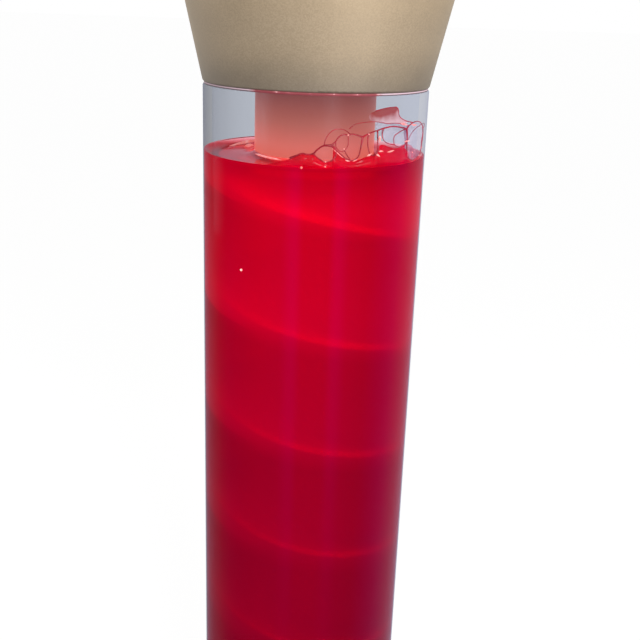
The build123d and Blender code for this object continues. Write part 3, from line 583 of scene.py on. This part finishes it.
# %% Turned pieces
def turned(name, outline, steps=160):
    """A round closed piece from (radius, height) points: a circle extruded ring by ring."""
    bpy.ops.object.select_all(action="DESELECT")
    bpy.ops.mesh.primitive_circle_add(vertices=steps, radius=outline[0][0], fill_type="NOTHING")
    piece = bpy.context.active_object
    piece.name = name
    bpy.ops.object.mode_set(mode="EDIT")
    bpy.ops.mesh.select_all(action="SELECT")
    bpy.ops.transform.translate(value=(0, 0, outline[0][1]))
    bpy.ops.mesh.edge_face_add()
    bpy.ops.mesh.select_all(action="DESELECT")
    bpy.ops.mesh.select_mode(type="EDGE")
    bpy.ops.mesh.select_all(action="SELECT")
    for (near, low), (far, high) in zip(outline, outline[1:]):
        bpy.ops.mesh.extrude_edges_move(TRANSFORM_OT_translate={"value": (0, 0, high - low)})
        bpy.ops.transform.resize(value=(far / near, far / near, 1), center_override=(0, 0, high))
    bpy.ops.mesh.edge_face_add()
    bpy.ops.mesh.select_all(action="SELECT")
    bpy.ops.mesh.normals_make_consistent(inside=False)
    bpy.ops.object.mode_set(mode="OBJECT")
    bpy.ops.object.shade_smooth_by_angle(angle=math.radians(40))
    print(name, "faces:", len(piece.data.polygons))
    return piece


# %% [markdown]
# The outline runs from the middle of the tank's floor out to the tube, up along it, over the two
# wetted edges and in under the well. A small cap closes it at each end.

# %% Red liquid
bottom_z, level_z = (corner.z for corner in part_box("red_liquid"))
side_r = 0.0496
well_r = 0.02702
floor_cap_r, well_cap_r = 0.004, 0.0052
well_edge_z, well_cap_z = level_z - 0.0065, level_z - 0.0072
tube_climb, well_climb = 0.0026, 0.0022
wet_top_z, straight_z = level_z + 0.0005, level_z - 0.02
flat_z = wet_top_z - tube_climb
wet_curve = (  # metres from the wetted wall, share of the climb
    (0.0, 1.0), (0.0003, 0.84), (0.0008, 0.64), (0.0016, 0.42), (0.0028, 0.22), (0.0045, 0.08), (0.0065, 0.0),
)
outline = [(floor_cap_r, bottom_z), (side_r, bottom_z), (side_r, straight_z)]
outline += [(side_r - run, flat_z + share * tube_climb) for run, share in wet_curve]
outline += [(well_r + run, flat_z + share * well_climb) for run, share in reversed(wet_curve)]
outline += [(well_r, well_edge_z), (well_cap_r, well_cap_z)]
liquid = turned("liquid_body", outline)
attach(liquid, "spiral_rotor")
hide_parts("red_liquid")

# %% [markdown]
# The liquid absorbs green and blue within millimetres and red within a hand's width. It is a
# little cloudy, and a soft red glow that fades with depth stands for the light that the cloud
# throws back. The glow is brightest just above the spiral ramp, which is found from the height and
# the angle round the axis, and the ramp shows less the deeper it lies.

# %% Glow of the liquid
red = Finish("red_liquid")
depth = red.rise("red_liquid")
deep_glow = red.ramp(
    depth + 0.03 * (red.noise(18.0, 2.0) - 0.5),
    [(0.2, (0.39, 0.0, 0.023)), (0.42, (0.47, 0.0, 0.024)), (0.61, (0.58, 0.0, 0.025)),
     (0.78, (0.78, 0.0, 0.025)), (0.94, (1.0, 0.0, 0.022)), (0.99, (0.72, 0.0, 0.016))],
)
ramp_lead, ramp_front_z = 0.0537, 0.4295
turn_share = red.heading() * (1 / math.tau)
turns = (red.axes().out("Z") - ramp_front_z) * (1 / ramp_lead) + turn_share
above_ramp = turns.maths("FRACT", turns + 0.03 * (red.noise(35.0, 2.0) - 0.5))
ramp_glow = red.ramp(
    above_ramp, [(0.0, 0.9), (0.07, 1.0), (0.3, 0.95), (0.62, 0.84), (0.9, 0.78), (1.0, 0.9)]
)
mean_glow = (0.87, 0.87, 0.87, 1)
sunk = red.ramp(depth, [(0.3, 0.62), (0.62, 0.0)])
lit_cloud = red.mix(deep_glow, red.mix(ramp_glow, mean_glow, sunk, "MIX"))
print("glow nodes:", len(red.tree.nodes))

# %% [markdown]
# Some places glow less. The top glows half as much, except at the front right, where lather covers
# it. The left side is dimmer under each turn of the ramp, and the right side is dimmer all over. The
# raised edge at the tube hardly glows, and the wall round the well not at all.

# %% Dim places of the liquid
side = red.axes() * (1 / tube_r)
left_side = red.ramp(0.0 - side, [(0.4, 0.0), (0.88, 1.0)])
right_side = red.ramp(side, [(0.2, 0.0), (0.65, 1.0)])
under_top = red.ramp(depth, [(0.0, 0.0), (0.945, 0.95), (0.985, 0.0)])
bare_top = red.ramp(turn_share + 0.5, [(0.38, 1.0), (0.43, 0.0), (0.8, 0.0), (0.86, 1.0)])
upward = red.upward()
lying = abs(upward)
edge_run, well_skin = wet_curve[-1][0], 0.0004
tube_edge = (red.reach() > side_r - edge_run) * (lying > 0.15)
well_wall = (1.0 - (red.reach() > well_r + well_skin)) * (1.0 - (lying > 0.2))
top_glow = 1.0 - 0.5 * lying * bare_top
left_glow = 1.0 - 0.38 * left_side * above_ramp * under_top
right_glow = 1.0 - 0.2 * right_side
edge_glow = (1.0 - 0.85 * tube_edge) * (1.0 - well_wall)
wall_glow = red.mix(lit_cloud, top_glow * left_glow * right_glow * edge_glow)
print("glow and dim places:", len(red.tree.nodes), "nodes")

# %% [markdown]
# Rough refraction blurs the spiral behind the surface, the glow is added to it, and the bare part
# of the top mirrors the room. The absorption is the same all through, so it is set on the volume's
# own sockets.

# %% Red liquid finish
bent = red.node(
    "ShaderNodeBsdfRefraction", None,
    {"Color": (1, 1, 1, 1), "Roughness": 0.26 + 0.08 * red.noise(25.0, 2.0), "IOR": 1.36},
)
cloud_light = red.node("ShaderNodeEmission", None, {"Color": wall_glow, "Strength": 1.0})
mirror = red.node("ShaderNodeBsdfAnisotropic", None, {"Color": (0.92, 0.8, 0.86, 1), "Roughness": 0.08})
mirror_share = red.node("ShaderNodeFresnel", None, {"IOR": 1.42}) * (upward > 0.3) * (0.08 + 0.92 * bare_top)
red_body = red.node("ShaderNodeAddShader", None, {0: red.layer(mirror_share, bent, mirror), 1: cloud_light})
thick = red.node("ShaderNodeVolumeAbsorption", None, {"Color": (0.925, 0.0, 0.05, 1), "Density": 460.0})
liquid.data.materials.append(red.done(red_body, thick))
print(red.material.name, "on", liquid.name)

# %% [markdown]
# ## Foam
# Soap foam stands on the liquid between the well and the tube, at the front right. Most of what
# shows is the net of red borders where its films meet the tube's wall. Each border is a curve
# through a few points on that wall, which is drawn just under the tube's outer face, as the liquid
# is. The points are given as an angle from the front and a height over the liquid. A border is
# thicker at its ends, where it meets others, so each point of the curve has its own thickness.

# %% Places of the foam borders
foam_lines = {  # radius in millimetres, then points: degrees from the front to +X, millimetres up
    "shore": (0.34, [
        (-11.5, 3.8), (-8, 5.2), (-5.5, 6), (-3, 5.7), (-0.5, 6.1), (1.5, 7.8), (4.5, 9.4), (8, 9.5),
    ]),
    "lens": (0.26, [
        (-0.5, 6.1), (0.5, 5.4), (2.5, 4.1), (5.5, 2.9), (9.5, 4.3), (10.5, 6.8), (9.5, 9), (8, 9.5),
    ]),
    "hill": (0.26, [
        (8, 9.5), (10, 11.1), (11.5, 12.9), (14, 14), (16, 13.7), (18, 14.1), (20, 13.8), (23.5, 12.8),
    ]),
    "belly": (0.28, [
        (8, 9.5), (10.5, 7.6), (13, 5.8), (15.5, 4.2), (19, 3.5), (21.5, 4.9), (22.5, 7.8), (23.5, 12.8),
    ]),
    "seam": (0.17, [(10, 11.1), (10.5, 8.8), (13, 7.1), (14.5, 7.6), (16, 9.3), (16.2, 11.5), (16, 13.7)]),
    "brace": (0.17, [(14.5, 7.6), (15.5, 6.1), (17.5, 3.8)]),
    "bubble": (0.16, [(4.5, 9.4), (5.5, 12.5), (7.5, 14.8), (10, 16), (13, 16), (15.5, 15.1), (17, 14)]),
    "chain": (0.28, [
        (23.5, 12.8), (26.5, 14.1), (31.5, 15.3), (35, 16), (40.5, 16.5), (45.5, 16.1), (52, 14.9),
    ]),
    "first_post": (0.24, [(26.5, 14.1), (26.3, 10.6), (27, 7.7), (28, 5.8), (29.5, 5.2), (31, 5.4)]),
    "second_post": (0.24, [(31.5, 15.3), (32, 10.4), (32, 7.1), (31, 5.4)]),
    "round_cell": (0.18, [(35, 16), (34.5, 13.2), (35.5, 11.3), (37.5, 10), (40, 9.4), (43, 9)]),
    "arc": (0.18, [
        (52, 14.9), (48, 14.5), (45, 13.6), (42.5, 12.4), (42.3, 10.6), (43, 9), (45.5, 8), (50, 8.1),
        (53, 9.5),
    ]),
    "third_post": (0.3, [(52, 14.9), (53, 11.4), (53, 9.2), (53.5, 6.1), (54.5, 3)]),
    "crown": (0.24, [
        (52, 14.9), (54, 16.1), (58, 17.1), (62.5, 17.3), (69, 16.2), (75, 13.5), (76.5, 10.6), (74.5, 7.9),
    ]),
    "crown_side": (0.22, [(74.5, 7.9), (74, 5.2), (72, 3.3), (66, 1.9), (61, 1.2), (57, 1.8), (54.5, 3)]),
    "veil": (0.14, [
        (16.5, 16.2), (19, 17.8), (23.5, 18.6), (31.5, 18.7), (37, 17.9), (42.5, 17.8), (49, 17), (54, 16.1),
    ]),
    "tongue": (0.16, [
        (30, 23.1), (34.5, 23.9), (40, 24.3), (43.5, 24), (44.5, 22.7), (45, 21), (48, 19.2), (58, 17.1),
    ]),
    "rear": (0.22, [(75, 13.5), (80, 13.6), (88, 14.2), (98, 12.5), (110, 8), (118, 0)]),
}
far_edge = [(-172, 0.4), (-160, 0.4), (-148, 0.4), (-136, 0.4), (-122, 0.4), (-112, 0.4)]
print("borders:", ", ".join(foam_lines))

# %% [markdown]
# A round bevel turns each curve into a thread with closed ends. The threads become meshes and are
# joined to one piece, because they share one finish and move together.

# %% Foam borders
mm = 0.001
wall_r = 0.0488
swollen_ends, middle_share = 1.35, 0.85


def wall_place(turn, height, radius):
    """A point on a round wall over the liquid."""
    angle = math.radians(turn)
    return Vector((radius * math.sin(angle), -radius * math.cos(angle), level_z + height * mm))


def wall_curve(name, points, radius=wall_r, closed=False, ends=swollen_ends):
    """A smooth curve along a round wall; ends is its share of thickness at both ends."""
    bpy.ops.object.select_all(action="DESELECT")
    bpy.ops.curve.primitive_bezier_curve_add()
    curve = bpy.context.active_object
    curve.name = name
    spline = curve.data.splines[0]
    spline.bezier_points.add(len(points) - 2)
    for knot, (turn, height) in zip(spline.bezier_points, points):
        knot.co = wall_place(turn, height, radius)
        knot.handle_left_type = knot.handle_right_type = "AUTO"
        knot.radius = middle_share
    if not closed:
        spline.bezier_points[0].radius = spline.bezier_points[-1].radius = ends
    spline.use_cyclic_u = closed
    spline.resolution_u = curve.data.resolution_u = 8
    return curve


def thread(name, size, points, radius=wall_r, ends=swollen_ends):
    """A round thread along a wall curve, as a mesh; size is its radius in millimetres."""
    curve = wall_curve(name, points, radius, False, ends)
    curve.data.bevel_depth = size * mm / middle_share
    curve.data.bevel_resolution = 2
    curve.data.use_fill_caps = True
    bpy.ops.object.convert(target="MESH")
    return bpy.context.active_object


def joined(name, pieces):
    """Several pieces as one."""
    bpy.ops.object.select_all(action="DESELECT")
    for piece in pieces:
        piece.select_set(True)
    bpy.context.view_layer.objects.active = pieces[0]
    bpy.ops.object.join()
    pieces[0].name = name
    bpy.ops.object.shade_smooth()
    return pieces[0]


threads = [thread("border_" + name, size, points) for name, (size, points) in foam_lines.items()]
threads.append(thread("border_far_edge", 0.2, far_edge, ends=0.1))
foam_net = joined("foam_borders", threads)
print("foam borders:", len(threads), "with", len(foam_net.data.polygons), "faces")

# %% [markdown]
# The films that close the larger cells lie on the wall and bulge inwards a little. One sheet stands
# up like a tongue over the rest, and it is redder because liquid still drains from it. Each film
# has an outline of its own, given in the same way as the borders.

# %% Places of the foam films
front_cells = [
    [(8, 9.5), (10.5, 7.6), (13, 5.8), (15.5, 4.2), (19, 3.5), (21.5, 4.9), (22.5, 7.8), (23.5, 12.8),
     (20, 13.8), (14, 14), (11.5, 12.9), (10, 11.1)],
    [(-0.5, 6.1), (2.5, 4.1), (5.5, 2.9), (9.5, 4.3), (10.5, 6.8), (9.5, 9), (8, 9.5), (4.5, 9.4),
     (1.5, 7.8)],
]
side_cells = [
    [(35, 16), (34.5, 13.2), (35.5, 11.3), (37.5, 10), (43, 9), (45.5, 8), (50, 8.1), (53, 9.5), (53, 11.4),
     (52, 14.9), (45.5, 16.1), (40.5, 16.5)],
    [(52, 14.9), (54, 16.1), (58, 17.1), (62.5, 17.3), (69, 16.2), (75, 13.5), (76.5, 10.6), (74.5, 7.9),
     (74, 5.2), (72, 3.3), (66, 1.9), (61, 1.2), (57, 1.8), (54.5, 3), (53.5, 6.1), (53, 9.2)],
    [(31.5, 18.7), (37, 17.9), (42.5, 17.8), (49, 17), (54, 16.1), (52, 14.9), (45.5, 16.1), (40.5, 16.5),
     (35, 16), (31.5, 15.3)],
]
tongue_cell = [
    (30, 23.1), (34.5, 23.9), (40, 24.3), (43.5, 24), (44.5, 22.7), (45, 21), (48, 19.2), (52, 17.7),
    (47, 17.2), (42.5, 17.8), (37, 17.9), (31.5, 18.7), (27.5, 19.5), (26.5, 21.3),
]
print("cells with films:", len(front_cells), "in front,", len(side_cells), "at the side and the tongue")

# %% [markdown]
# A closed curve is filled with a face, the face is inset and drawn towards the lamp's middle, and
# Solidify makes the sheet a tenth of a millimetre thick, so that it is a closed shape.

# %% Foam films
film_insets, film_thickness = (0.0003, 0.0004), 0.0001


def thickened(sheet, thickness):
    """Give a sheet a thickness, so that it is a closed shape."""
    bpy.ops.object.modifier_add(type="SOLIDIFY")
    sheet.modifiers["Solidify"].thickness = thickness
    sheet.modifiers["Solidify"].offset = 0.0
    bpy.ops.object.modifier_apply(modifier="Solidify")
    return sheet


def film(name, points, bulge=0.985):
    """A film in a closed outline on the wall."""
    wall_curve(name, points, wall_r, True)
    bpy.ops.object.convert(target="MESH")
    bpy.ops.object.mode_set(mode="EDIT")
    bpy.ops.mesh.select_mode(type="EDGE")
    bpy.ops.mesh.select_all(action="SELECT")
    bpy.ops.mesh.edge_face_add()
    bpy.ops.mesh.select_mode(type="FACE")
    bpy.ops.mesh.select_all(action="SELECT")
    for step in film_insets:
        bpy.ops.mesh.inset(thickness=step)
        bpy.ops.transform.resize(value=(bulge, bulge, 1), center_override=(0, 0, level_z))
    bpy.ops.object.mode_set(mode="OBJECT")
    return thickened(bpy.context.active_object, film_thickness)


foam_films = joined("foam_films", [film("film_cell", points) for points in front_cells])
side_films = joined("foam_side_films", [film("film_cell", points) for points in side_cells])
foam_tongue = film("foam_tongue", tongue_cell, 0.995)
bpy.ops.object.shade_smooth()
for piece in (foam_films, side_films, foam_tongue):
    print(piece.name, "faces:", len(piece.data.polygons))

# %% [markdown]
# Under the lather the liquid has climbed the wall, up to the lowest borders. This wet shore is a
# curve along its upper edge, extruded and pressed flat a little under the liquid's level.

# %% Wet shore
shore_line = [
    (-27, 0), (-22, 0.9), (-17, 2), (-13, 3.1), (-11, 3.8), (-8, 4.9), (-5.5, 5.8), (-3, 5.5),
    (-0.5, 5.9), (1, 5), (3, 3.8), (5.5, 2.7), (8, 3.3), (9.3, 5), (9.6, 8.6), (11, 7.4), (13, 5.8),
    (15.5, 4.1), (19, 3.3), (22, 3.7), (24.5, 4.5), (27, 5.1), (28.5, 5.5), (31, 5.2), (32.5, 6.7),
    (33.3, 9), (35, 9.4), (38, 8.6), (42.5, 7.6), (48.5, 7.4), (51.5, 6.8), (54, 4.6), (57, 1.9),
    (61, 1.1), (66, 1.8), (71, 2.6), (76, 2.2), (84, 1.2), (94, 0.6), (104, 0.3),
]
shore_foot_z = level_z - 0.0005
shore_thickness = 0.0002
wall_curve("wet_shore", shore_line)
bpy.ops.object.convert(target="MESH")
bpy.ops.object.mode_set(mode="EDIT")
bpy.ops.mesh.select_mode(type="EDGE")
bpy.ops.mesh.select_all(action="SELECT")
bpy.ops.mesh.extrude_edges_move(TRANSFORM_OT_translate={"value": (0, 0, -mm)})
bpy.ops.transform.resize(value=(1, 1, 0), center_override=(0, 0, shore_foot_z))
bpy.ops.object.mode_set(mode="OBJECT")
wet_shore = thickened(bpy.context.active_object, shore_thickness)
bpy.ops.object.shade_smooth()
print("wet shore faces:", len(wet_shore.data.polygons))

# %% [markdown]
# Wet foam lies on the liquid at the right: low domes, each a ball cut where it meets the liquid and
# the tube.


# %% Wet foam
def ball(name, place, radius, segments=24):
    """A ball with its place in its mesh."""
    bpy.ops.object.select_all(action="DESELECT")
    bpy.ops.mesh.primitive_uv_sphere_add(segments=segments, ring_count=segments // 2, radius=radius)
    piece = bpy.context.active_object
    piece.name = name
    bpy.ops.object.mode_set(mode="EDIT")
    bpy.ops.mesh.select_all(action="SELECT")
    bpy.ops.transform.translate(value=place)
    bpy.ops.object.mode_set(mode="OBJECT")
    return piece


def cut(piece, point, away):
    """Cut a piece by a plane and keep the side that away points from."""
    bpy.ops.object.select_all(action="DESELECT")
    bpy.context.view_layer.objects.active = piece
    piece.select_set(True)
    bpy.ops.object.mode_set(mode="EDIT")
    bpy.ops.mesh.select_all(action="SELECT")
    bpy.ops.mesh.bisect(plane_co=point, plane_no=away, clear_outer=True, use_fill=True)
    bpy.ops.object.mode_set(mode="OBJECT")


bore_r, dome_r, dome_sink = 0.0456, 0.0428, -1.0
dome_foot_z = flat_z + 0.0006
dome_sizes = {  # degrees from the front, radius in millimetres
    31: 3.2, 37: 4.2, 44: 3.8, 51: 4.8, 58: 4.2, 65: 5.2, 73: 4.5, 81: 5.0, 90: 4.4, 99: 4.6,
}
domes = []
for turn, size in dome_sizes.items():
    dome = ball("wet_dome", wall_place(turn, dome_sink, dome_r), size * mm)
    outward = wall_place(turn, 0, 1.0) - Vector((0, 0, level_z))
    cut(dome, outward * bore_r, outward)
    cut(dome, (0, 0, dome_foot_z), (0, 0, -1))
    domes.append(dome)
wet_foam = joined("wet_foam", domes)
print("domes:", len(domes), "faces:", len(wet_foam.data.polygons))

# %% [markdown]
# Small drops hang where borders meet, and short bright strokes lie along the wet edges: they stand
# for the lamp's light in the liquid there. The raised edge of the liquid catches it too, at the
# back and at the well's foot. Two tiny air bubbles sit at the front.

# %% Drops and glints
drops = (  # degrees from the front, millimetres up, radius in millimetres
    (16, 13.7, 0.4), (26.6, 13.9, 0.42), (14.3, 8.2, 0.28), (5.5, 3, 0.35), (5.5, 1, 0.3), (59.5, 4.5, 0.3),
    (71, 2, 0.35), (75, 5.1, 0.3),
)
glint_lines = {  # radius in millimetres, radius of the wall, then points as for the borders
    "back": (0.7, 0.0448, [(-168, -0.3), (-155, -0.4), (-142, -0.7), (-130, -1.3), (-116, -2.0)]),
    "back_drop": (0.85, 0.0381, [(-130, -2.0), (-127, -1.7), (-124, -1.7), (-120, -2.0)]),
    "well": (0.5, 0.0279, [(-68, -0.6), (-60, -0.4), (-50, -0.5), (-40, -0.6), (-30, -0.8)]),
    "belly": (0.2, wall_r, [(8.5, 8.4), (10.8, 6.8), (12.6, 5.5), (14.7, 4.2)]),
    "post": (0.5, wall_r, [(33.1, 10.7), (33.1, 11.5), (33.1, 12.2), (33.1, 13)]),
    "cell_left": (0.42, wall_r, [(32.9, 6.6), (34.1, 6.8), (35.6, 6.7)]),
    "cell_right": (0.42, wall_r, [(38.3, 6.2), (40.5, 6.4), (42.8, 6.7)]),
    "post_foot": (0.42, wall_r, [(26.4, 5.1), (27.5, 5.5), (28.8, 6)]),
    "post_foot_right": (0.45, wall_r, [(31, 5.9), (32.2, 5.4), (33.6, 4.7)]),
    "belly_foot_left": (0.3, wall_r, [(15, 3.7), (16.3, 3.4), (17.5, 3.3)]),
    "belly_foot_right": (0.34, wall_r, [(18.4, 3.3), (19.7, 3.5), (21.2, 4)]),
    "waist": (0.36, wall_r, [(50.8, 9.5), (52.7, 9.8), (55.6, 9.7)]),
    "crown_left": (0.5, wall_r, [(46.5, 17.5), (49, 17.1), (52.2, 16.5)]),
    "crown_right": (0.42, wall_r, [(56.4, 16.6), (59.3, 16), (62.4, 15.9)]),
}
tapered_ends, drop_segments = 0.3, 16
beads = [
    ball("drop", wall_place(turn, height, wall_r), size * mm, drop_segments)
    for turn, height, size in drops
]
glints = [
    thread("glint_" + name, size, points, radius, tapered_ends)
    for name, (size, radius, points) in glint_lines.items()
]
foam_drops = joined("foam_drops", beads + glints)
speck_places = {0.0006: (-0.0296, -0.0398, 0.4062), 0.0005: (-0.0049, -0.0492, 0.4524)}
specks = [ball("speck", place, radius, drop_segments) for radius, place in speck_places.items()]
air_specks = joined("air_specks", specks)
print("drops:", len(beads), "glints:", len(glints), "specks:", len(specks))

# %% [markdown]
# The foam drifts round with the liquid, so all of it rides on the spiral's body.

# %% What the foam rides on
for piece in (foam_net, foam_films, side_films, foam_tongue, wet_shore, wet_foam, foam_drops, air_specks):
    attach(piece, "spiral_rotor")
    print(piece.name, "rides on spiral_rotor")

# %% [markdown]
# A soap film is nearly clear and turns pink and glossy where it is seen edge on. Its borders hold
# red liquid, so they are deep red and shiny. The domes are redder films, and the drops, glints and
# air specks catch the lamp's light. The wet shore is clear where it dips into the liquid, and the
# tongue gets redder towards its top. Every foam finish also glows a little: painted light from the
# lit liquid.

# %% Foam finishes
drain_z = level_z + 0.0205
shore_water_z = level_z + 0.0004


def soap(name, low, high, cover, glow, drain=0.0, foot=0.0):
    """A film: clear, with a swirled tint that covers more where it is seen edge on, above its foot; the tint
    also glows as painted light.
    """
    made = Finish(name)
    height = made.axes().out("Z")
    open_film = made.node("ShaderNodeBsdfTransparent", None, {"Color": (1, 1, 1, 1)})
    swirl = made.noise(160.0, 2.0)
    if drain:
        swirl = swirl + drain * (height - drain_z)
    tint = made.ramp(swirl, [(0.3, low), (0.7, high)])
    tinted = made.skin(
        base_color=tint, roughness=0.1, specular_ior_level=0.2, emission_color=tint, emission_strength=glow
    )
    covered = (cover + 0.35 * made.edge_on()**4.0) * (height > foot)
    return made.done(made.layer(covered, open_film, tinted))


def wetted(name, low, high, glow):
    """A shiny body of liquid with a swirled colour, which also glows as painted light."""
    made = Finish(name)
    swirl = made.ramp(made.noise(320.0, 2.0), [(0.3, low), (0.7, high)])
    rough = 0.08 + 0.08 * made.noise(90.0)
    body = made.skin(base_color=swirl, roughness=rough, emission_color=swirl, emission_strength=glow)
    return made.done(body)


# Painted highlight: the drops, glints and air specks glow with the lamp's light.
painted_glint_finish = wetted("foam_drop", (0.9, 0.2, 0.17), (1.0, 0.5, 0.45), 0.72)
foam_finishes = (
    (foam_films, soap("foam_film", (0.55, 0.25, 0.36), (0.72, 0.45, 0.58), 0.025, 0.3)),
    (side_films, soap("foam_side_film", (0.5, 0.36, 0.52), (0.78, 0.62, 0.78), 0.13, 0.35)),
    (foam_tongue, soap("foam_sheet", (0.66, 0.43, 0.45), (0.36, 0.05, 0.045), 0.74, 0.4, drain=110.0)),
    (wet_shore, soap("foam_shore", (0.5, 0.0, 0.008), (0.68, 0.0, 0.016), 0.74, 0.58, foot=shore_water_z)),
    (wet_foam, soap("foam_wet", (0.45, 0.0, 0.015), (0.75, 0.01, 0.04), 0.66, 0.6)),
    (foam_net, wetted("foam_border", (0.26, 0.004, 0.012), (0.52, 0.015, 0.035), 0.42)),
    (foam_drops, painted_glint_finish),
    (air_specks, painted_glint_finish),
)
for piece, finish in foam_finishes:
    piece.data.materials.append(finish)
    print(finish.name, "on", piece.name)

# %% [markdown]
# ## Finish
# The colours go to the picture as they are written.

# %% Finish
bpy.context.scene.view_settings.view_transform = "Standard"
